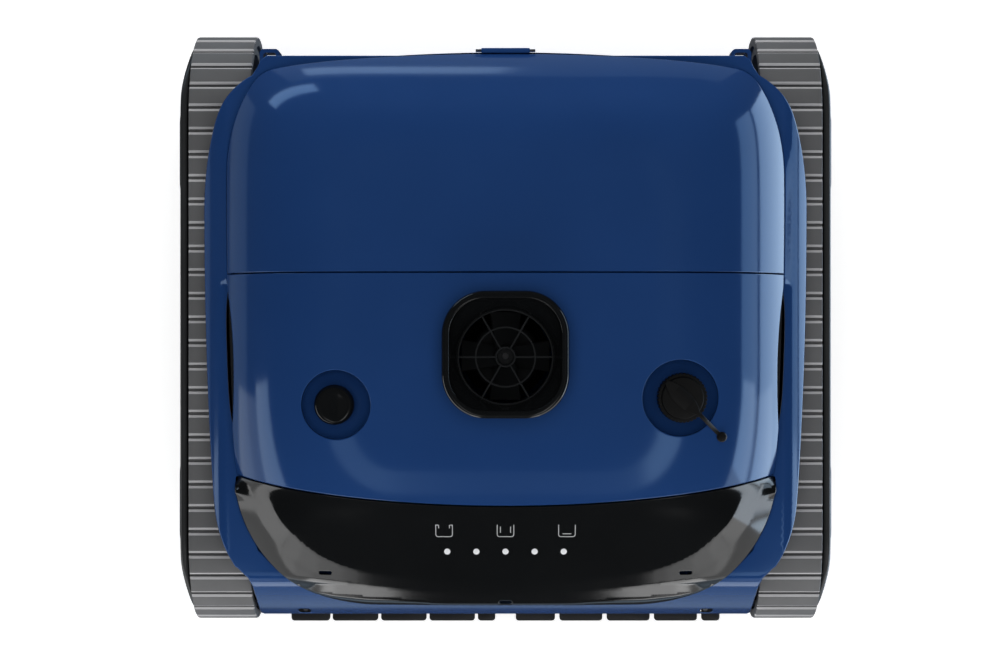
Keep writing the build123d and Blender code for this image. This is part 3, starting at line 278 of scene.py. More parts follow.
side_r, flank_r, rear_r, rear_corner_r, widest_y = 3290.0, 108.0, 1134.0, 20.0, 101.0
slot_middle, slot_reach = -16.5, 44.5


def side_line(y):
    """Half width of the covers, forward of their widest place, without the long side slot."""
    return half_width - side_r + np.sqrt(side_r**2 - (y - widest_y) ** 2)


def cover_side(y):
    """Half width of the covers, forward of their widest place, with the long side slot let in."""
    return float(side_line(y)) - 3.4 * max(0.0, 1 - ((y - slot_middle) / slot_reach) ** 2)


def rear_half(inset=0.0):
    """Right half of the covers' outline behind their widest place, up to the middle of the rear."""
    flank_at = (half_width - flank_r, widest_y)
    rear_at = (0, rear_y - rear_r)
    to_rear = hypot(flank_at[0], flank_at[1] - rear_at[1])
    near, far = flank_r - rear_corner_r, rear_r - rear_corner_r
    aim = atan2(flank_at[1] - rear_at[1], flank_at[0])
    rear_turn = aim - acos((far**2 + to_rear**2 - near**2) / (2 * far * to_rear))
    corner_at = (far * cos(rear_turn), rear_at[1] + far * sin(rear_turn))
    flank_turn = atan2(corner_at[1] - flank_at[1], corner_at[0] - flank_at[0])
    turns = [0, degrees(flank_turn), degrees(rear_turn), 90]
    return (arc(flank_at, flank_r - inset, turns[0], turns[1])
            + arc(corner_at, rear_corner_r - inset, turns[1], turns[2], 1.5)
            + arc(rear_at, rear_r - inset, turns[2], turns[3], 4) + [(0, rear_y - inset)])


def both_sides(right_half):
    """Closed loop from the points of its right half, from front to rear."""
    return right_half + [(-x, y) for x, y in reversed(right_half) if x > 0.01]


def side_points(start, end, inset=0.0, spacing=3.0):
    count = int((end - start) / spacing)
    rows = [start + (end - start) * i / count for i in range(count)]
    return [(cover_side(y) - inset, y) for y in rows]


def lid_outline():
    return divided(both_sides(side_points(seam_y + seam_gap, widest_y) + rear_half()), 3.0)


def joint_points(reach, shift):
    """Points of the display's joint line, moved back by the shift."""
    rows = [reach * (1 - 2 * i / 120) for i in range(121)]
    return [(x, float(display_arc(x)) + shift) for x in rows]


def front_cover_outline():
    side_y, rear = float(display_arc(172.4)) + seam_gap, seam_y - seam_gap
    sides = side_points(side_y, rear) + [(cover_side(rear), rear)]
    return divided(sides + mirrored(sides) + joint_points(-sides[0][0], seam_gap)[1:-1], 3.0)


def display_outline():
    rear = joint_points(172.6, -seam_gap)
    corner = arc((corner_x, corner_y), corner_radius, -90, -0.5)
    right = [(x, y) for x, y in corner if y < rear[0][1] - 1]
    return divided(rear + mirrored(right) + right, 3.0)


def frame_outline():
    """Fender frame and bumper in one: long side arcs, rounded rear corners, notched bumper ends."""
    wide_x, wide_y, corner_y, flank_radius, corner_radius = 194.8, 79.2, 136.0, 187.7, 49.0
    flank_turn = asin((corner_y - wide_y) / flank_radius)
    corner_at = (wide_x - flank_radius + (flank_radius - corner_radius) * cos(flank_turn),
                 wide_y + (flank_radius - corner_radius) * sin(flank_turn))
    side_x, side_end = 187.3, -110.3
    long_radius = ((wide_y - side_end) ** 2 + (wide_x - side_x) ** 2) / (2 * (wide_x - side_x))
    turn = degrees(asin((wide_y - side_end) / long_radius))
    front_radius, front_turn = 89.0, 27.7
    front_at = (side_x - front_radius * cos(radians(turn)), side_end + front_radius * sin(radians(turn)))
    right = [(0.0, bumper_front), (162.8, bumper_front), (164.5, bumper_front + 1.6), (163.2, -174.0),
             (163.6, -164.5), (165.8, -158.6), (169.4, -154.9), (171.6, frame_front + 1.6)]
    right += arc(front_at, front_radius, -turn - front_turn, -turn)
    right += arc((wide_x - long_radius, wide_y), long_radius, -turn, 0)
    right += arc((wide_x - flank_radius, wide_y), flank_radius, 0, degrees(flank_turn))
    right += arc(corner_at, corner_radius, degrees(flank_turn), 61.8, 2.0)
    right += [(162.4, 164.4), (159.0, 169.2), (156.7, 174.2), (153.0, skirt_y), (0.0, skirt_y)]
    return divided(both_sides(right), 3.0)


def frame_hole():
    """Inner edge of the fender frame, clockwise: under the front cover, and close round the lid."""
    inset, step_y, gap = 10.0, seam_y - 1.0, 0.2
    front = frame_front + 6.0
    sides = [(cover_side(front) - inset - 8, front), (cover_side(front) - inset, front + 8)]
    sides += side_points(front + 10, step_y, inset)
    sides += [(cover_side(step_y) - inset, step_y)]
    sides += side_points(step_y, widest_y, -gap) + rear_half(-gap)
    return divided(both_sides(sides), 4.0)[::-1]


def ledge_loops():
    """The frame's ledge under the lid: its right half and its left half."""
    outer, inner = (side_points(seam_y - 1.0, widest_y, inset) + rear_half(inset)
                    for inset in (-1.5, 10.0))
    half = (outer + inner[::-1])[:-1]
    return [divided(half, 4.0), divided(mirrored(half), 4.0)]


# ---- mesh building -------------------------------------------------------------
def inset_loop(loop, amount):
    """The loop moved into the material, which lies on its left, and its outward directions."""
    points = np.array(loop)
    ahead = np.roll(points, -1, axis=0) - points
    ahead /= np.linalg.norm(ahead, axis=1)[:, None]
    behind = np.roll(ahead, 1, axis=0)
    left = (ahead + behind)[:, ::-1] * (-1, 1)
    share = 1 + (ahead * behind).sum(axis=1)
    outward = -left / np.linalg.norm(left, axis=1)[:, None]
    return points + amount * left / np.maximum(share, 0.4)[:, None], outward


def inside(points, loops):
    """Which points lie in the region, by counting crossings."""
    odd = np.zeros(len(points), bool)
    for loop in loops:
        a = np.array(loop)
        b = np.roll(a, -1, axis=0)
        for start in range(0, len(points), 4000):
            x, y = points[start:start + 4000, 0:1], points[start:start + 4000, 1:2]
            spans = (a[:, 1] > y) != (b[:, 1] > y)
            rise = np.where(b[:, 1] == a[:, 1], 1, b[:, 1] - a[:, 1])
            crossing = a[:, 0] + (y - a[:, 1]) * (b[:, 0] - a[:, 0]) / rise
            odd[start:start + 4000] ^= (spans & (x < crossing)).sum(axis=1) % 2 == 1
    return odd


def triangulated(loops, spacing, creases=()):
    """Plan points, with the loops' own points first, and the triangles between them."""
    border = np.concatenate([np.array(loop) for loop in loops])
    lines = [np.array(line)[inside(np.array(line), loops)] for line in creases]
    low, high = border.min(0), border.max(0)
    rows = np.arange(low[1] + spacing / 2, high[1], spacing * 0.87)
    grid = [(x, y) for k, y in enumerate(rows)
            for x in np.arange(low[0] + spacing * (0.25 + 0.5 * (k % 2)), high[0], spacing)]
    grid = np.array(grid).reshape(-1, 2)
    grid = grid[inside(grid, loops)]
    fixed = np.concatenate([border] + lines)
    kept = []
    for start in range(0, len(grid), 2000):
        part = grid[start:start + 2000]
        gap = np.sqrt(((part[:, None] - fixed[None]) ** 2).sum(2)).min(1)
        kept.append(part[gap > spacing * 0.55])
    points = np.concatenate([fixed] + kept)
    edges, first = [], 0
    for chain, gaps in [(loop, 0) for loop in loops] + [(line, 1) for line in lines]:
        edges += [(first + i, first + (i + 1) % len(chain)) for i in range(len(chain) - gaps)]
        first += len(chain)
    made = delaunay_2d_cdt([Vector(p) for p in points], edges, [], 0, 1e-7)
    corners = np.array([p[:] for p in made[0]])
    triangles = np.array(made[2])
    middles = corners[triangles].mean(axis=1)
    return corners, triangles[inside(middles, loops)]


class Shell:
    """Points, faces and normals of one mesh, in millimetres."""

    def __init__(self):
        self.points, self.normals, self.faces, self.paints = [], [], [], []

    def add(self, points, normals=None):
        """Adds points and returns their numbers."""
        first = len(self.points)
        self.points += [tuple(p) for p in points]
        self.normals += [(0, 0, 0)] * len(points) if normals is None else [tuple(n) for n in normals]
        return list(range(first, len(self.points)))

    def face(self, numbers, paint=0):
        self.faces.append(tuple(numbers))
        self.paints.append(paint)

    def strip(self, one, two, paints=None):
        """Quads between two closed rings of equal count."""
        for i in range(len(one)):
            j = (i + 1) % len(one)
            self.face((one[i], one[j], two[j], two[i]), paints[i] if paints else 0)

    def rings(self, rows, closed=False):
        """A loft through rings, capped at both ends, or joined end to end if closed."""
        made = [self.add(row) for row in rows]
        for one, two in zip(made, made[1:]):
            self.strip(one, two)
        if closed:
            self.strip(made[-1], made[0])
        else:
            self.face(made[0][::-1])
            self.face(made[-1])


def linked(name, data):
    """A new object in the scene."""
    obj = bpy.data.objects.new(name, data)
    bpy.context.scene.collection.objects.link(obj)
    return obj


@contextmanager
def edited(mesh):
    """The mesh, open for editing."""
    form = bmesh.new()
    form.from_mesh(mesh)
    yield form
    form.to_mesh(mesh)
    form.free()


def make_object(name, shell, body, materials, nodes=(), sharp=32.0, turn=None):
    """Builds the mesh in metres, gives it its materials, and rides it on its CAD body if it has one."""
    points = np.array(shell.points, float)
    normals = np.array(shell.normals, float)
    if turn is not None:
        points, normals = points @ turn.T, normals @ turn.T
    mesh = bpy.data.meshes.new(name)
    mesh.from_pydata((points * MM).tolist(), [], shell.faces)
    mesh.polygons.foreach_set("material_index", shell.paints)
    with edited(mesh) as form:
        bmesh.ops.recalc_face_normals(form, faces=form.faces)
    mesh.shade_smooth()
    mesh.set_sharp_from_angle(angle=radians(sharp))
    if np.abs(normals).sum() > 0:
        mesh.normals_split_custom_set_from_vertices(normals.tolist())
    for material in materials:
        mesh.materials.append(material)
    obj = linked(name, mesh)
    if body:
        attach(obj, body)
    if nodes:
        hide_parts(*nodes)
    return obj


def slope_normals(points, height):
    """Upward normals of a height field at plan points."""
    step = 0.2
    x, y = points[:, 0], points[:, 1]
    rise_x = (height(x + step, y) - height(x - step, y)) / (2 * step)
    rise_y = (height(x, y + step) - height(x, y - step)) / (2 * step)
    normals = np.stack([-rise_x, -rise_y, np.ones(len(points))], axis=1)
    return normals / np.linalg.norm(normals, axis=1)[:, None]


def lifted(plan, surface, drop=0.0):
    """Plan points at the height of a surface, less a drop."""
    return np.column_stack([plan[:, 0], plan[:, 1], surface(plan[:, 0], plan[:, 1]) - drop])


def slab(shell, loops, height, under, edge=0.8, spacing=4.0, thickness=wall, steps=4, creases=()):
    """A moulding under a height field: rounded upper edges, plain walls and an underside."""
    corners, triangles = triangulated([inset_loop(loop, edge)[0] for loop in loops], spacing, creases)
    top = shell.add(lifted(corners, height), slope_normals(corners, height))
    low_corners, low_triangles = triangulated([inset_loop(loop, thickness)[0] for loop in loops],
                                              spacing * 2.5)
    low = shell.add(lifted(low_corners, under))
    for a, b, c in triangles:
        shell.face((top[a], top[b], top[c]))
    for a, b, c in low_triangles:
        shell.face((low[c], low[b], low[a]))
    first = 0
    for loop in loops:
        own = slice(first, first + len(loop))
        ring = top[own]
        outward = inset_loop(loop, 0)[1]
        for k in range(1, steps + 1):
            turn = pi / 2 * k / steps
            plan = inset_loop(loop, edge * (1 - sin(turn)))[0]
            level = np.column_stack([outward, np.zeros(len(loop))])
            normals = slope_normals(plan, height) * cos(turn) + level * sin(turn)
            following = shell.add(lifted(plan, height, edge * (1 - cos(turn))), normals)
            shell.strip(ring, following)
            ring = following
        foot = shell.add(lifted(np.array(loop), lambda x, y: np.minimum(
            under(x, y), height(x, y) - edge - 0.2)))
        lip = shell.add([shell.points[number] for number in low[own]])
        shell.strip(ring, foot)
        shell.strip(foot, lip)
        first += len(loop)


def slab_piece(name, body, material, loops, height, under, nodes=(), slot="blue_shell", turn=None,
               **shape):
    """One piece from a slab, with the points that lie on each other joined."""
    shell = Shell()
    slab(shell, loops, height, under, **shape)
    obj = make_object(name, shell, body, [material], nodes, turn=turn)
    with edited(obj.data) as form:
        bmesh.ops.remove_doubles(form, verts=form.verts, dist=1e-7)


def prism(name, outline, low, high, bevel, body, nodes=(), axis="z"):
    """A blue piece: an outline, (x, y) or for axis x (y, z), drawn out and bevelled all round."""
    shell = Shell()
    shell.rings([[(h, a, b) if axis == "x" else (a, b, h) for a, b in outline] for h in (low, high)])
    mesh = make_object(name, shell, body, [blue], nodes).data
    with edited(mesh) as form:
        edges = [e for e in form.edges if len(e.link_faces) == 2 and e.calc_face_angle(0) > radians(30)]
        bmesh.ops.bevel(form, geom=edges, offset=bevel * MM, segments=3, profile=0.5, affect="EDGES",
                        clamp_overlap=True)
    mesh.shade_smooth()
    mesh.set_sharp_from_angle(angle=radians(40))


def turned(shell, centre, profile, count=96, closed=False):
    """Adds a surface turned round a vertical axis from (radius, z) points."""
    shell.rings([raised(circle(centre, radius, count), z) for radius, z in profile], closed)


# ---- materials -----------------------------------------------------------------
finishes = {}


class Finish:
    """One node material: a shader with colour change, roughness change and fine relief."""

    def __init__(self, name, colour, roughness, metallic=0.0, **sockets):
        self.material = finishes[name] = bpy.data.materials.new(name)
        self.material.use_nodes = True
        self.nodes = self.material.node_tree.nodes
        self.links = self.material.node_tree.links
        self.shader = self.nodes["Principled BSDF"]
        self.shader.inputs["Base Color"].default_value = (*colour, 1)
        self.shader.inputs["Roughness"].default_value = roughness
        self.shader.inputs["Metallic"].default_value = metallic
        for socket, value in sockets.items():
            self.shader.inputs[socket.replace("_", " ")].default_value = value
        self.place = self.nodes.new("ShaderNodeTexCoord").outputs["Object"]

    def node(self, kind, **sockets):
        """A new node, with each socket named set to a constant or linked to an output."""
        made = self.nodes.new(f"ShaderNode{kind}")
        for socket, value in sockets.items():
            socket = made.inputs[socket.replace("_", " ")]
            if isinstance(value, bpy.types.NodeSocket):
                self.links.new(value, socket)
            else:
                socket.default_value = value
        return made

    def noise(self, scale, detail=3.0, stretch=(1, 1, 1)):
        place = self.node("Mapping", Vector=self.place, Scale=stretch).outputs["Vector"]
        return self.node("TexNoise", Vector=place, Scale=scale, Detail=detail).outputs["Fac"]

    def weave(self, scale):
        """Height of an open weave: the highest of three crossing waves."""
        waves = []
        for direction in ("X", "Y", "Z"):
            wave = self.node("TexWave", Vector=self.place, Scale=scale)
            wave.bands_direction = direction
            waves.append(wave.outputs["Fac"])
        return self.joined("MAXIMUM", self.joined("MAXIMUM", waves[0], waves[1]), waves[2])

    def joined(self, operation, one, two):
        made = self.node("Math")
        made.operation = operation
        self.links.new(one, made.inputs[0])
        self.links.new(two, made.inputs[1])
        return made.outputs["Value"]

    def ranged(self, value, low, high, start=0.3, end=0.7):
        return self.node("MapRange", Value=value, From_Min=start, From_Max=end, To_Min=low,
                         To_Max=high).outputs["Result"]

    def ramp(self, value, stops):
        """A colour ramp with (position, colour) stops."""
        ramp = self.node("ValToRGB", Fac=value)
        for position, _ in stops[1:-1]:
            ramp.color_ramp.elements.new(position)
        for element, (position, colour) in zip(ramp.color_ramp.elements, stops):
            element.position = position
            element.color = (*colour, 1)
        return ramp.outputs["Color"]

    def colours(self, value, dark, light):
        self.links.new(self.ramp(value, [(0.3, dark), (0.7, light)]), self.shader.inputs["Base Color"])

    def rough(self, value, low, high):
        self.links.new(self.ranged(value, low, high), self.shader.inputs["Roughness"])

    def relief(self, value, strength, distance):
        bump = self.node("Bump", Strength=strength, Distance=distance, Height=value)
        self.links.new(bump.outputs["Normal"], self.shader.inputs["Normal"])


def scaled(colour, factor):
    return tuple(c * factor for c in colour)


def mottled(name, colour, roughness, spread=0.08, **sockets):
    """A finish with slow colour change and patches of roughness."""
    finish = Finish(name, colour, roughness, **sockets)
    finish.colours(finish.noise(14, 4), scaled(colour, 1 - spread), scaled(colour, 1 + spread))
    finish.rough(finish.noise(45, 5), roughness * 0.86, roughness * 1.16)
    return finish


def moulded(name, colour, roughness, grain, depth, spread=0.08, **sockets):
    """Moulded plastic or rubber with fine grain."""
    finish = mottled(name, colour, roughness, spread, **sockets)
    finish.relief(finish.noise(grain, 2), 0.25, depth)
    return finish.material


blue = moulded("blue_shell", (0.0118, 0.0435, 0.155), 0.11, 2600, 0.00001, 0.04,
               Specular_Tint=(0.38, 0.65, 1.0, 1))
gloss_black = moulded("gloss_black", (0.0045, 0.005, 0.0055), 0.12, 1200, 0.00001)
satin_black = moulded("black_plastic", (0.010, 0.011, 0.012), 0.38, 1800, 0.00006)
panel_black = moulded("panel_black", (0.020, 0.021, 0.022), 0.34, 1500, 0.00004)
slot_grey = moulded("slot_grey", (0.26, 0.27, 0.28), 0.5, 1500, 0.00006)
milky = moulded("lens_white", (0.75, 0.76, 0.78), 0.35, 800, 0.00002, 0.03)
icon_white = moulded("icon_white", (0.42, 0.43, 0.44), 0.45, 900, 0.00002, 0.05)
track_rubber = moulded("track_rubber", (0.100, 0.101, 0.104), 0.56, 1400, 0.00012, 0.14)
# Light grey paint for the lug chamfers: a painted highlight for the light lines the lug edges show.
track_chamfer_highlight = moulded("track_chamfer_highlight", (0.40, 0.40, 0.41), 0.6, 1100, 0.00014, 0.12)
black_rubber = moulded("black_rubber", (0.005, 0.005, 0.005), 0.5, 1500, 0.00010,
                       Specular_IOR_Level=0.25)
brush_rubber = moulded("brush_rubber", (0.010, 0.010, 0.011), 0.5, 1500, 0.00010)
moulded("grey_plastic", (0.12, 0.125, 0.13), 0.45, 1600, 0.00006)
moulded("gear_plastic", (0.60, 0.58, 0.50), 0.42, 1600, 0.00005)
moulded("board_green", (0.02, 0.12, 0.05), 0.32, 700, 0.00006)
moulded("socket_brass", (0.60, 0.45, 0.20), 0.3, 900, 0.00003, Metallic=1.0)
moulded("motor_metal", (0.40, 0.40, 0.41), 0.38, 1200, 0.00004, Metallic=1.0)

net = mottled("mesh_fabric", (0.30, 0.32, 0.34), 0.7)
net.relief(net.weave(320), 0.8, 0.0004)

steel = Finish("steel", (0.55, 0.55, 0.56), 0.32, 1.0)
brushed = steel.noise(900, 3, (1, 30, 30))
steel.colours(steel.noise(30), (0.48, 0.48, 0.49), (0.60, 0.60, 0.61))
steel.rough(brushed, 0.26, 0.42)
steel.relief(brushed, 0.2, 0.00002)

# the CAD's material slots have the names of the finishes
for subpart in frame["record"]["subparts"]:
    node = frame["nodes"][subpart["node"]]
    node.data.materials.clear()
    node.data.materials.append(finishes[subpart["material_slot"]])


# ---- covers --------------------------------------------------------------------
def under_cover(bottom):
    return lambda x, y: np.maximum(inner_crown(x, y), bottom)


def make_lid():
    slab_piece("lid_shell", "lid", blue, [lid_outline()], crown, under_cover(lid_bottom - 1.4),
               nodes=["rear_lid"], edge=0.7)


def make_lid_hinge():
    """Knuckles on the lid's side of the hinge."""
    hinge_y, hinge_z, radius, length = 50.8, 201.0, 2.6, 14.0
    for x in (-52.0, -18.0, 18.0, 52.0):
        outline = circle((hinge_y, hinge_z), radius, 24)
        prism(f"lid_knuckle_{x:+.0f}".replace("+", "r").replace("-", "l"), outline, x - length / 2,
              x + length / 2, 0.4, "lid", axis="x")


def make_front_cover():
    holes = [circle(centre, radius, count)[::-1] for centre, radius, count in (
        ((0, throat_y), 33.5, 96), (button_cup_at, button_dish_radius, 96),
        (cap_cup_at, cap_dish_radius, 96), (tether_end, 2.7, 24))]
    slab_piece("front_cover_shell", "chassis", blue, [front_cover_outline()] + holes, crown,
               under_cover(rim_z - 0.2), nodes=["front_cover"], edge=0.7)


def make_display():
    """The display's glossy face, with three small slots."""
    slots = [rounded(block(x, y, 8, 2, 0.98), 0.5)[::-1]
             for x, y in ((-114.8, -153.3), (0.0, -173.8), (114.8, -153.3))]

    def under(x, y):
        return np.maximum(display_face(x, y) - wall, rim(x, y) + 0.5)

    slab_piece("display_face", "chassis", gloss_black, [display_outline()] + slots, display_face, under,
               nodes=["display_panel"], slot="gloss_black", edge=0.6, spacing=2.0, thickness=0.7,
               creases=crease_lines())


def make_icons():
    """Three pool sections in thin line: open corners at the waterline, round ones at the floor."""
    pitch, y, half, low, high, line = 38.6, -124.8, 5.5, -4.1, 4.1, 0.55
    loops = []
    for x in (-pitch, 0, pitch):
        outer, inner = ([(x - a, y + high, 0), (x - a, y + floor, radius), (x + a, y + floor, radius),
                         (x + a, y + high, 0)]
                        for a, floor, radius in ((half, low, 1.8), (half - line, low + line, 1.3)))
        loops.append(rounded(outer, 0.5) + rounded(inner, 0.5)[::-1])
    for x, middle, width, tall in (
            (-pitch - 3.4, high - 1.3, line, 2.2), (-pitch + 3.4, high - 1.3, line, 2.2),
            (-pitch - 4.4, high - line / 2, 1.6, line), (-pitch + 4.4, high - line / 2, 1.6, line),
            (-3.2, 0.8, line, 4.2), (3.2, 0.8, line, 4.2), (pitch, low + 2.2, 5.6, line)):
        loops.append(rounded(block(x, y + middle, width, tall)))
    shell = Shell()
    for loop in loops:
        slab(shell, [divided(loop, 1.0)], lambda x, y: display_face(x, y) + 0.05,
             lambda x, y: display_face(x, y) - 1.0, edge=0.1, spacing=5.0, thickness=0.02, steps=3)
    make_object("icon_lines", shell, "chassis", [icon_white], ["mode_icons"])


def make_lenses():
    """Five round indicator lenses, slightly domed."""
    pitch, y, radius, dome = 18.4, -138.6, 2.05, 0.35
    shell = Shell()
    for i in range(5):
        x = (i - 2) * pitch

        def domed(px, py, x=x):
            swell = 1 - ((px - x) ** 2 + (py - y) ** 2) / radius**2
            return display_face(px, py) + dome * np.clip(swell, 0, 1)

        slab(shell, [circle((x, y), radius, 32)], domed, lambda px, py: display_face(px, py) - 1.0,
             edge=0.12, spacing=0.9, thickness=0.02, steps=2)
    make_object("indicator_domes", shell, "chassis", [milky], ["indicator_lenses"])


# ---- fender frame, bumper and skirt --------------------------------------------
def beside_cover(x, y):
    """Distance outwards from the covers' sides, and from the flank behind their widest place."""
    flank = np.hypot(np.abs(x) - half_width + flank_r, np.maximum(y - widest_y, 0)) - flank_r
    return np.where(y > widest_y, flank, np.abs(x) - side_line(y))


def fender_top(x, y):
    """The rim, raised to meet the covers' lower edge along the sides."""
    away = beside_cover(x, y)
    rise = np.maximum(crown(half_width, y) - 0.6 - rim(x, y), 0) * smooth((150 - y) / 40)
    rise = rise * smooth((np.abs(y - slot_middle) - slot_reach) / 6)
    return rim(x, y) + np.where(away > 0, rise * np.clip(1 - away / 7, 0, 1) ** 2, 0)


def make_fender():
    """Fender frame and front bumper, one smooth surface down to the brush, and the frame's ledges."""
    dimples = [rounded(block(x, bumper_front + 3.8, 8, 3.6, 1.7), 0.6)[::-1] for x in (-134.5, 134.5)]

    def under(x, y):
        return np.where(y < frame_front, np.minimum(frame_bottom, rim(x, y) - 4.5), frame_bottom)

    rows = [[(x, y) for x in np.arange(-126, 126.1, 2.8)] for y in (-186.6, -183.4, -180.2, -177.0)]
    slab_piece("fender_shell", "chassis", blue, [frame_outline(), frame_hole()] + dimples, fender_top,
               under, nodes=["fender_frame", "front_bumper"], edge=1.0, spacing=3.0, thickness=0.6,
               creases=rows)
    for loop, name in zip(ledge_loops(), ("right", "left")):
        slab_piece(f"fender_ledge_{name}", "chassis", blue, [loop], lambda x, y: rim(0 * x, y) - 0.5,
                   lambda x, y: np.full(np.shape(x), frame_bottom), edge=0.5, spacing=6.0, thickness=0.4,
                   steps=2)


def make_slot_liners():
    """Black pointed strips in the notches of the covers' sides, each with a grey inner strip."""
    strips = (("slot_liner", satin_black, ["slot_liners"], slot_reach, 0.0, 1.0, 0.5),
              ("slot_strip", slot_grey, [], slot_reach - 3, 0.6, 0.92, 1.1))
    for name in ("left", "right"):
        for part, material, nodes, reach, inner, outer, lift in strips:
            rows = [slot_middle - reach + 2 * reach * i / 60 for i in range(61)]

            def across(y, share):
                fill = max(0.0, 1 - ((y - slot_middle) / reach) ** 4)
                return float(side_line(y)) + fill * (-3.2 + 5.4 * share)

            right = [(across(y, outer), y) for y in rows] + [(across(y, inner), y) for y in rows[-2:0:-1]]
            shell = Shell()
            slab(shell, [right if name == "right" else mirrored(right)], lambda x, y: rim(x, y) + lift,
                 lambda x, y: rim(x, y) - 0.3, edge=0.12, spacing=8.0, thickness=0.02, steps=2)
            make_object(f"{part}_{name}", shell, "chassis", [material], nodes)


def make_skirt():
    """Rear skirt, below the fender frame."""
    low, half = 58.0, 146.0
    outline = rounded([(-half, 172.4, 0), (half, 172.4, 0), (half, skirt_y, 2), (-half, skirt_y, 2)], 0.6)
    prism("rear_skirt_shell", outline, low, frame_bottom - 0.4, 0.8, "chassis", ["rear_skirt"])


def make_latch():
    """Finger tab over the rear edge, with its hook."""
    half, inner, outer, top, foot = 15.4, 177.9, 174.8, latch_z + 1.4, 134.5
    outline = rounded([(inner, top, 0.6), (inner, foot, 0.3), (outer, foot, 0.3), (outer, 131.6, 0.3),
                       (180.6, 130.7, 1.2), (181.2, top, 1.4)], 0.4)
    prism("latch_tab", outline[::-1], -half, half, 0.5, "latch", ["lid_latch"], "x")


# ---- outlet --------------------------------------------------------------------
def square_ring(size, corner, count=144):
    """Points of a rounded square round the outlet, evenly spread by direction."""
    half = size / 2 - corner
    points = []
    for turn in [2 * pi * i / count for i in range(count)]:
        c, s = cos(turn), sin(turn)
        a, b = abs(c), abs(s)
        scale = size / 2 / max(a, b)
        if min(a, b) * scale > half:
            along = half * (a + b)
            scale = along + sqrt(max(along**2 - 2 * half**2 + corner**2, 0))
        points.append((c * scale, outlet_y + s * scale))
    return points


def make_bezel():
    """Collar round the outlet: square outside and at its mouth, round at the throat."""
    bottom, top, size, corner, edge, lip, count = 190.0, 219.0, 78.0, 27.0, 3.0, 1.4, 144
    quarters = [pi / 2 * k / 6 for k in range(7)]
    shrinks = [(edge * (1 - cos(t)), top - edge * (1 - sin(t))) for t in quarters] + [(3.4, top)]
    shrinks += [(3.4 + lip * sin(t), top - lip * (1 - cos(t)))
                for t in (pi / 2 * k / 5 for k in range(1, 6))]
    rows = [[(x, y, float(crown(x, y)) - 1.5) for x, y in square_ring(size, corner)]]
    rows += [raised(square_ring(size - 2 * shrink, corner - shrink), z) for shrink, z in shrinks]
    mouth = square_ring(size - 9.6, corner - 4.8)
    throat = circle((0, throat_y), throat_radius, count)
    for k in range(1, 9):
        share = k / 8
        blend = float(smooth(share))
        rows.append([(mx + (tx - mx) * blend, my + (ty - my) * blend, top - lip - 15.6 * share)
                     for (mx, my), (tx, ty) in zip(mouth, throat)])
    outside = circle((0, throat_y), 33.4, count)
    rows += [raised(throat, bottom), raised(outside, bottom), raised(outside, 201.0)]
    shell = Shell()
    shell.rings(rows, closed=True)
    make_object("outlet_collar", shell, "chassis", [gloss_black], ["outlet_bezel"],
                sharp=40)


def make_grille():
    """Three rings and six spokes with rounded upper edges."""
    low, high, bar, edge = 197.0, 199.4, 1.3, 0.35
    shell = Shell()
    for radius in (throat_radius - 0.1, 19.0, 6.5):
        profile = [(radius, low), (radius, high - edge), (radius - edge, high),
                   (radius - bar + edge, high), (radius - bar, high - edge), (radius - bar, low)]
        turned(shell, (0, throat_y), profile, closed=True)
    section = [(-bar / 2, low), (bar / 2, low), (bar / 2, high - edge), (bar / 2 - edge, high - 0.05),
               (-bar / 2 + edge, high - 0.05), (-bar / 2, high - edge)]
    for turn in [radians(60 * i) for i in range(6)]:
        for spoke in ((6.2, 18.2), (18.6, 29.2)):
            shell.rings([[(r * cos(turn) - a * sin(turn), throat_y + r * sin(turn) + a * cos(turn), z)
                          for a, z in section] for r in spoke])
    make_object("grille_bars", shell, "chassis", [satin_black], ["outlet_grille"])


# ---- button, charging port and strap -------------------------------------------
def make_dish(name, centre, radius, node):
    """A round dish in the front cover, with a rounded floor and a rim that follows the cover's skin."""
    fillet, floor, middle = 8.0, pocket_z, 4
    bowl = [(middle, floor), (radius * 0.3, floor)]
    bowl += sweep(radius - fillet, floor + fillet, fillet, -90, 0, 8)
    rows = [raised(circle(centre, r), z) for r, z in bowl]
    for r, below in ((radius, 1.4), (radius + 0.02, 1.4), (radius + 2.2, wall + 0.4)):
        rows.append([(x, y, float(crown(x, y)) - below) for x, y in circle(centre, r)])
    back = ((radius + 2.2, floor + 6), (radius - 4, floor - wall), (middle, floor - wall))
    shell = Shell()
    shell.rings(rows + [raised(circle(centre, r), z) for r, z in back], closed=True)
    make_object(name, shell, "chassis", [blue], [node], sharp=40)


def make_button():
    """Push button: crowned top with a shallow finger dish and a stem."""
    radius, low, top = 12.5, pocket_z + 3.0, pocket_z + 12.5
    shell = Shell()
    profile = [(0.6, top - 0.9), (4.0, top - 0.8), (7.0, top - 0.25), (8.4, top)]
    profile += sweep(radius - 3.6, top - 3.6, 3.6, 82, 0, 7)
    profile += [(radius, low + 0.5), (radius - 0.5, low), (8.4, low), (8.2, low + 3.6), (3.6, low + 3.6),
                (3.6, pocket_z - 9), (0.6, pocket_z - 9)]
    turned(shell, button_at, profile)
    make_object("button_cap", shell, "button", [gloss_black], ["power_button"], sharp=40)


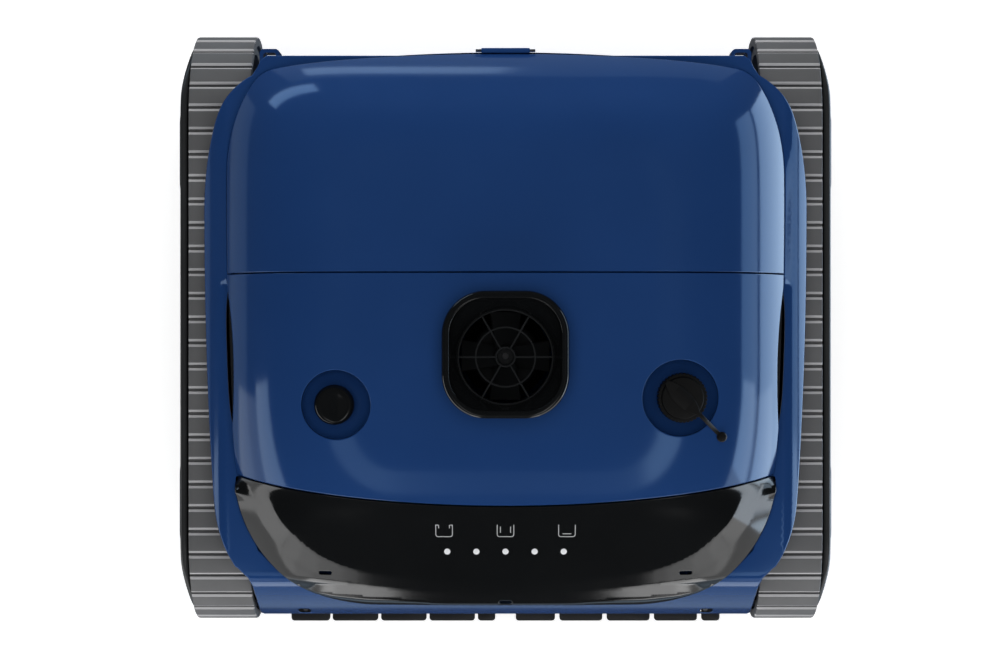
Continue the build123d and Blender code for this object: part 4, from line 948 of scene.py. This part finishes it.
def make_cap():
    """Charging port cap: knurled skirt, raised plateau and a hollow underneath."""
    radius, low, top, knurls, count = 15.45, pocket_z + 1.6, pocket_z + 15.0, 40, 320
    hollow, hollow_top, skirt = 11.0, pocket_z + 8.1, top - 2.0
    profile = [(0.8, hollow_top, 0), (hollow, hollow_top, 0), (hollow, low, 0), (radius - 0.5, low, 0.4),
               (radius, low + 0.6, 0.75), (radius, skirt - 0.8, 0.75), (radius - 0.25, skirt - 0.25, 0.6),
               (radius - 0.9, skirt, 0.25), (13.3, skirt, 0), (13.0, skirt + 0.3, 0), (12.9, top - 0.8, 0),
               (12.6, top - 0.25, 0), (11.9, top, 0), (5.0, top, 0), (0.8, top, 0)]
    turns = [2 * pi * i / count for i in range(count)]
    waves = [(0.5 + 0.5 * cos(knurls * turn)) ** 3 for turn in turns]
    shell = Shell()
    shell.rings([[(cap_at[0] + (r - depth * wave) * cos(turn),
                   cap_at[1] + (r - depth * wave) * sin(turn), z)
                  for turn, wave in zip(turns, waves)] for r, z, depth in profile])
    make_object("port_cap", shell, "cap", [black_rubber], ["charging_cap"], sharp=40)


def make_strap():
    """Tether from the cap to the cover: a leaf on the cap that narrows to a band, then a plug."""
    run_x, run_y = tether_end[0] - cap_at[0], tether_end[1] - cap_at[1]
    run = hypot(run_x, run_y)
    along, across = (run_x / run, run_y / run), (-run_y / run, run_x / run)
    thick = 1.2
    high, low = pocket_z + 15.1, 190.3
    stations = [-14 + (run + 16) * i / 60 for i in range(61)]
    rows = []
    for s in stations:
        leaf = 5.2 * max(0.0, 1 - ((s + 0.5) / 15.2) ** 2) ** 0.8
        width = max(leaf, 1.3 if s > 0 else 0.3)
        if s > run + 0.5:
            width = 1.3 + 0.9 * smooth((s - run - 0.5) / 1.0)
        fall = float(smooth((s - 16) / (run - 18.5)))
        z = high + (low - high) * fall
        section = [(-width, 0.35), (-width + 0.3, 0), (width - 0.3, 0), (width, 0.35),
                   (width, thick - 0.35), (width - 0.3, thick), (-width + 0.3, thick),
                   (-width, thick - 0.35)]
        if width < 0.4:
            section = [(a * 0.2, b) for a, b in section]
        rows.append([(cap_at[0] + along[0] * s + across[0] * a, cap_at[1] + along[1] * s + across[1] * a,
                      z + b) for a, b in section])
    shell = Shell()
    shell.rings(rows)
    turned(shell, tether_end, [(0.4, 178.2), (2.0, 178.2), (2.3, 179), (2.3, 190.4), (3.2, 190.6),
                               (3.2, 191.2), (2.4, 191.9), (0.4, 192.1)], 24)
    obj = make_object("cap_tether", shell, None, [black_rubber], sharp=50)
    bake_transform(obj)
    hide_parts("tether_strap")


# ---- tracks and side panels ----------------------------------------------------
def track_profile(shrink):
    """Outer contour of the belt in (y, z), with rounded lugs, and its faces' paint: 1 marks the lug
    chamfers, painted light grey as a painted highlight.
    """
    straight = wheel_rear_y - wheel_front_y
    length = 2 * straight + 2 * pi * track_radius
    pitch = length / lug_count
    groove, depth, chamfer = 1.9, 3.0, 1.6
    section = [(-groove / 2 + 0.5, depth), (groove / 2 - 0.5, depth), (groove / 2, depth - 0.6),
               (groove / 2, 1.0), (groove / 2 + 0.6, 0.35), (groove / 2 + chamfer, 0.0)]
    flat = [groove / 2 + chamfer + (pitch - groove - 2 * chamfer) * i / 6 for i in range(1, 6)]
    section += [(s, 0.0) for s in flat]
    section += [(pitch - groove / 2 - chamfer, 0.0), (pitch - groove / 2 - 0.6, 0.35),
                (pitch - groove / 2, 1.0), (pitch - groove / 2, depth - 0.6)]
    # section places whose faces get the painted highlight on the lug chamfers
    highlight_places = (3, 4, 11, 12)
    points, paints = [], []
    for i in range(lug_count):
        for place, (s, down) in enumerate(section):
            distance = ((i + 0.5) * pitch + s) % length
            radius = track_radius - max(down, shrink)
            half_turn = pi * track_radius
            if distance < straight:
                point = (wheel_rear_y - distance, wheel_z + radius)
            elif distance < straight + half_turn:
                turn = (distance - straight) / track_radius
                point = (wheel_front_y - radius * sin(turn), wheel_z + radius * cos(turn))
            elif distance < 2 * straight + half_turn:
                point = (wheel_front_y + distance - straight - half_turn, wheel_z - radius)
            else:
                turn = (distance - 2 * straight - half_turn) / track_radius
                point = (wheel_rear_y + radius * sin(turn), wheel_z - radius * cos(turn))
            points.append(point)
            paints.append(int(place in highlight_places))
    return points, paints


def belt_inside(points, radius):
    """Points of the belt's inner face, opposite its outer points."""
    made = []
    for y, z in points:
        middle = min(max(y, wheel_front_y), wheel_rear_y)
        away = Vector((y - middle, z - wheel_z)).normalized() * radius
        made.append((middle + away.x, wheel_z + away.y))
    return made


def make_track(side, name):
    """Rubber belt with rounded lugs; its side edges are rounded too."""
    shell = Shell()
    outer_points, paints = track_profile(0)
    stations = [(track_inner, 1.0), (track_inner + 0.3, 0.3), (track_inner + 1.0, 0.0),
                (track_inner + 14.0, 0.0), (track_outer - 14.0, 0.0), (track_outer - 1.0, 0.0),
                (track_outer - 0.3, 0.3), (track_outer, 1.0)]
    rings = []
    for x, shrink in stations:
        points, _ = track_profile(shrink)
        rings.append(shell.add([(side * x, y, z) for y, z in points]))
    for one, two in zip(rings, rings[1:]):
        shell.strip(one, two, paints)
    inner_points = belt_inside(outer_points, track_radius - 5.9)
    inner = [shell.add([(side * x, y, z) for y, z in inner_points]) for x in (track_outer, track_inner)]
    shell.strip(rings[-1], inner[0])
    shell.strip(inner[0], inner[1])
    shell.strip(inner[1], rings[0])
    # the second material is the painted highlight on the lug chamfers
    make_object(f"belt_{name}", shell, "chassis", [track_rubber, track_chamfer_highlight], [f"track_{name}"],
                sharp=30)


def stadium(radius, count=40):
    """Closed (y, z) outline round both wheel centres."""
    return (sweep(wheel_rear_y, wheel_z, radius, -90, 90, count)
            + sweep(wheel_front_y, wheel_z, radius, 90, 270, count))


def make_panel(side, name):
    """Side panel: a stadium plate with a swollen boss over each wheel."""
    inner, face, bulge = track_outer + 1.6, 212.4, 214.9
    bosses = [(-112.5, 50.0, 42.0, 38.0), (118.5, 50.0, 42.0, 38.0)]

    def height(y, z):
        high = np.full(np.shape(y), face)
        for centre, half_y, half_z, corner in bosses:
            away_y = np.maximum(np.abs(y - centre) - (half_y - corner), 0)
            away_z = np.maximum(np.abs(z - wheel_z) - (half_z - corner), 0)
            distance = corner - np.hypot(away_y, away_z)
            high = high + (bulge - face) * smooth(distance / 5.0)
            high = high - 1.1 * smooth((distance - 15) / 5.0)
        ends = smooth((np.abs(y - (wheel_front_y + wheel_rear_y) / 2) - 150) / 38)
        return inner + 1.0 + (high - inner - 1.0) * (1 - ends)

    turn = np.array([[0, 0, side], [1, 0, 0], [0, 1, 0]], float)
    nodes = ["side_panels"] if side > 0 else []
    slab_piece(f"side_panel_{name}", "chassis", panel_black, [divided(stadium(54.0), 3.0)], height,
               lambda y, z: np.full(np.shape(y), inner), nodes, "gloss_black", turn, edge=2.4,
               spacing=3.0, thickness=0.6, steps=5)


# ---- roller brush --------------------------------------------------------------
def make_brush(side, name):
    """Rubber sleeve with six rows of short paddles, each with rounded corners."""
    core, tip, half_thick = 14.0, 25.0, 1.5
    blocks = [(7.0, 34.0), (37.0, 66.5), (69.5, 99.0), (102.0, 131.5), (134.5, 147.0)]
    if side < 0:
        blocks = [(7.0, 19.0), (21.0, 52.2), (54.2, 85.4), (87.4, 118.7), (120.4, 147.0)]
    shell = Shell()
    sleeve = ((7.0, 12.2), (7.0, core - 0.5), (7.5, core), (146.5, core), (147.0, core - 0.5),
              (147.0, 12.2))
    shell.rings([[(side * x, y, z) for y, z in circle((brush_y, brush_z), radius, 64)]
                 for x, radius in sleeve], closed=True)
    for row in range(6):
        turn = radians(180 + 60 * row)
        out, across = (cos(turn), sin(turn)), (-sin(turn), cos(turn))
        for start, end in blocks:
            corner = min(2.2, (end - start) / 4)
            face = rounded([(start, core - 1.5, 0), (end, core - 1.5, 0), (end, tip, corner),
                            (start, tip, corner)], 0.6)
            layers = []
            for offset, shrink in ((-half_thick, 0.5), (-half_thick + 0.35, 0.0),
                                   (half_thick - 0.35, 0.0), (half_thick, 0.5)):
                plan = inset_loop(face, shrink)[0]
                layers.append([(side * a, brush_y + out[0] * r + across[0] * offset,
                                brush_z + out[1] * r + across[1] * offset) for a, r in plan])
            shell.rings(layers)
    make_object(f"brush_rubber_{name}", shell, f"brush_{name}", [brush_rubber], [f"brush_sleeve_{name}"],
                sharp=40)


make_lid()
make_lid_hinge()
make_front_cover()
make_display()
make_icons()
make_lenses()
make_fender()
make_slot_liners()
make_skirt()
make_latch()
make_bezel()
make_grille()
make_dish("button_dish", button_cup_at, button_dish_radius, "button_cup")
make_dish("port_dish", cap_cup_at, cap_dish_radius, "charging_cup")
make_button()
make_cap()
make_strap()
for side, name in ((-1, "left"), (1, "right")):
    make_track(side, name)
    make_panel(side, name)
    make_brush(side, name)


# ---- stage, light and camera ---------------------------------------------------
def make_stage():
    """A plain pale floor with a soft edge of light of its own."""
    bpy.ops.mesh.primitive_plane_add(size=14, location=(0, 0, -0.0005))
    floor = bpy.context.object
    floor.name = "floor"
    paint = Finish("floor_paint", (0.88, 0.88, 0.88), 0.9)
    paint.shader.inputs["Emission Color"].default_value = (1, 1, 1, 1)
    paint.shader.inputs["Emission Strength"].default_value = 0.55
    floor.data.materials.append(paint.material)
    floor.visible_glossy = False
    floor.visible_shadow = False


def softbox(name, place, target, width, height, radiance, tint=(1, 1, 1), glossy=True, diffuse=True):
    """A rectangular light aimed at a point, given by its radiance."""
    data = bpy.data.lights.new(name, "AREA")
    data.shape = "RECTANGLE"
    data.size, data.size_y = width, height
    data.energy = radiance * pi * width * height
    data.color = tint
    light = linked(name, data)
    light.location = place
    aim = Vector(target) - Vector(place)
    light.rotation_euler = aim.to_track_quat("-Z", "Y").to_euler()
    light.visible_glossy = glossy
    light.visible_diffuse = diffuse


def card(name, azimuth, elevation, width, height, radiance, tint=(1, 1, 1)):
    """A light card seen only in reflections, by its direction; azimuth 0 is the rear."""
    turn, lift = radians(azimuth), radians(elevation)
    away = Vector((sin(turn) * cos(lift), cos(turn) * cos(lift), sin(lift)))
    centre = Vector((0, 0, 0.17))
    softbox(name, centre + 1.5 * away, centre, width, height, radiance, tint, diffuse=False)


def ring_loop(grow):
    """Right half of a rounded rectangle on the covers, in millimetres, from the front to the rear."""
    side, rear, front, corner = 94.0 + grow, 104.0 + grow, -86.0 - grow, 28.0 + grow
    points = [(side * i / 24 - (corner * i / 24), front) for i in range(24)]
    points += arc((side - corner, front + corner), corner, -90, 0, 2.0)
    points += [(side, front + corner + (rear - front - 2 * corner) * i / 30) for i in range(30)]
    points += arc((side - corner, rear - corner), corner, 0, 90, 2.0)
    return points + [(side - corner - (side - corner) * i / 12, rear) for i in range(13)]


def make_ring():
    """The glowing frame that the covers mirror as a rounded band, strongest at its front corners."""
    rows = []
    for grow in (0.0, 5.0, 10.0, 15.0):
        half = np.array(divided_open(ring_loop(grow), 140))
        plan = np.concatenate([half, half[::-1] * (-1, 1)])
        point = lifted(plan, crown)
        sight = point - eye
        sight /= np.linalg.norm(sight, axis=1)[:, None]
        normal = slope_normals(plan, crown)
        mirror = sight - 2 * (sight * normal).sum(axis=1)[:, None] * normal
        rows.append([tuple(p) for p in point + 1300 * mirror])
    mesh = bpy.data.meshes.new("light_frame")
    count = len(rows[0])
    points = [tuple(c * MM for c in p) for row in rows for p in row]
    faces = [(row + i, row + (i + 1) % count, row + count + (i + 1) % count, row + count + i)
             for row in range(0, count * (len(rows) - 1), count) for i in range(count)]
    mesh.from_pydata(points, [], faces)
    light_frame = linked("light_frame", mesh)
    glow = Finish("light_frame_glow", (0, 0, 0), 1.0)
    split = glow.node("SeparateXYZ", Vector=glow.place).outputs
    stops = ((0.0, 0.42), (0.28, 0.40), (0.36, 0.22), (0.45, 0.1), (0.68, 0.14), (0.76, 0.24),
             (0.84, 0.9))
    level = glow.ramp(glow.ranged(split["X"], 0, 1, -0.45, 0.45),
                      [(at, (grey,) * 3) for at, grey in stops])
    glow_strength = glow.joined("MULTIPLY", level, glow.ranged(split["Y"], 2.6, 0.12, -0.75, -0.35))
    glow.shader.inputs["Emission Color"].default_value = (1, 1, 1, 1)
    glow.shader.inputs["Specular IOR Level"].default_value = 0
    glow.links.new(glow_strength, glow.shader.inputs["Emission Strength"])
    mesh.materials.append(glow.material)
    light_frame.visible_camera = False
    light_frame.visible_diffuse = False
    light_frame.visible_shadow = False


def make_lights():
    body = (0, 0, 0.12)
    softbox("fill", (0, 0, 2.3), body, 3.0, 3.0, 1.45, glossy=False)
    softbox("front_fill", (0, -1.3, 0.45), body, 1.6, 0.6, 3.2, glossy=False)
    softbox("rear_fill", (0, 1.3, 0.45), body, 1.6, 0.6, 3.0, glossy=False)
    sky = (0.62, 0.8, 1.0)
    for row in (("right_card", 90, -28, 2.0, 0.95, 3.9), ("right_glow", 90, 2, 2.0, 0.5, 2.4),
                ("left_card", -90, -25, 1.8, 0.5, 0.35), ("rear_card", 0, -32, 1.6, 1.1, 0.3),
                ("corner_card", -34, -1, 0.8, 0.24, 3.4), ("rear_left_card", -10, -19, 0.5, 0.2, 1.8),
                ("bumper_card", 180, -40, 2.0, 0.9, 0.35)):
        card(*row, sky)
    for side, name in ((-1, "left"), (1, "right")):
        for azimuth, width, radiance in ((120, 1.4, 2.3), (148.5, 0.185, 2.05), (155.5, 0.185, 1.75),
                                         (162.5, 0.185, 1.45), (168, 0.11, 1.1)):
            card(f"bevel_card_{azimuth:.0f}_{name}", side * azimuth, 2.5, width, 0.4, radiance)
        card(f"facet_card_{name}", side * 130, -17.4, 1.9, 0.64, 0.8)
        card(f"low_card_{name}", side * 166, -16, 0.3, 0.4, 2.6)
    make_ring()


def make_camera():
    """Straight above the object, as the picture was taken."""
    data = bpy.data.cameras.new("camera")
    data.sensor_width = 36
    data.lens = 84.8
    data.shift_x, data.shift_y = -0.0055, -0.006
    camera = linked("camera", data)
    camera.location = eye * MM
    bpy.context.scene.camera = camera


def make_world():
    world = bpy.data.worlds.new("studio")
    bpy.context.scene.world = world
    world.use_nodes = True
    background = world.node_tree.nodes["Background"].inputs
    background["Color"].default_value = (0.9, 0.95, 1.0, 1)
    background["Strength"].default_value = 0.03
    bpy.context.scene.view_settings.view_transform = "Standard"


make_stage()
make_lights()
make_camera()
make_world()
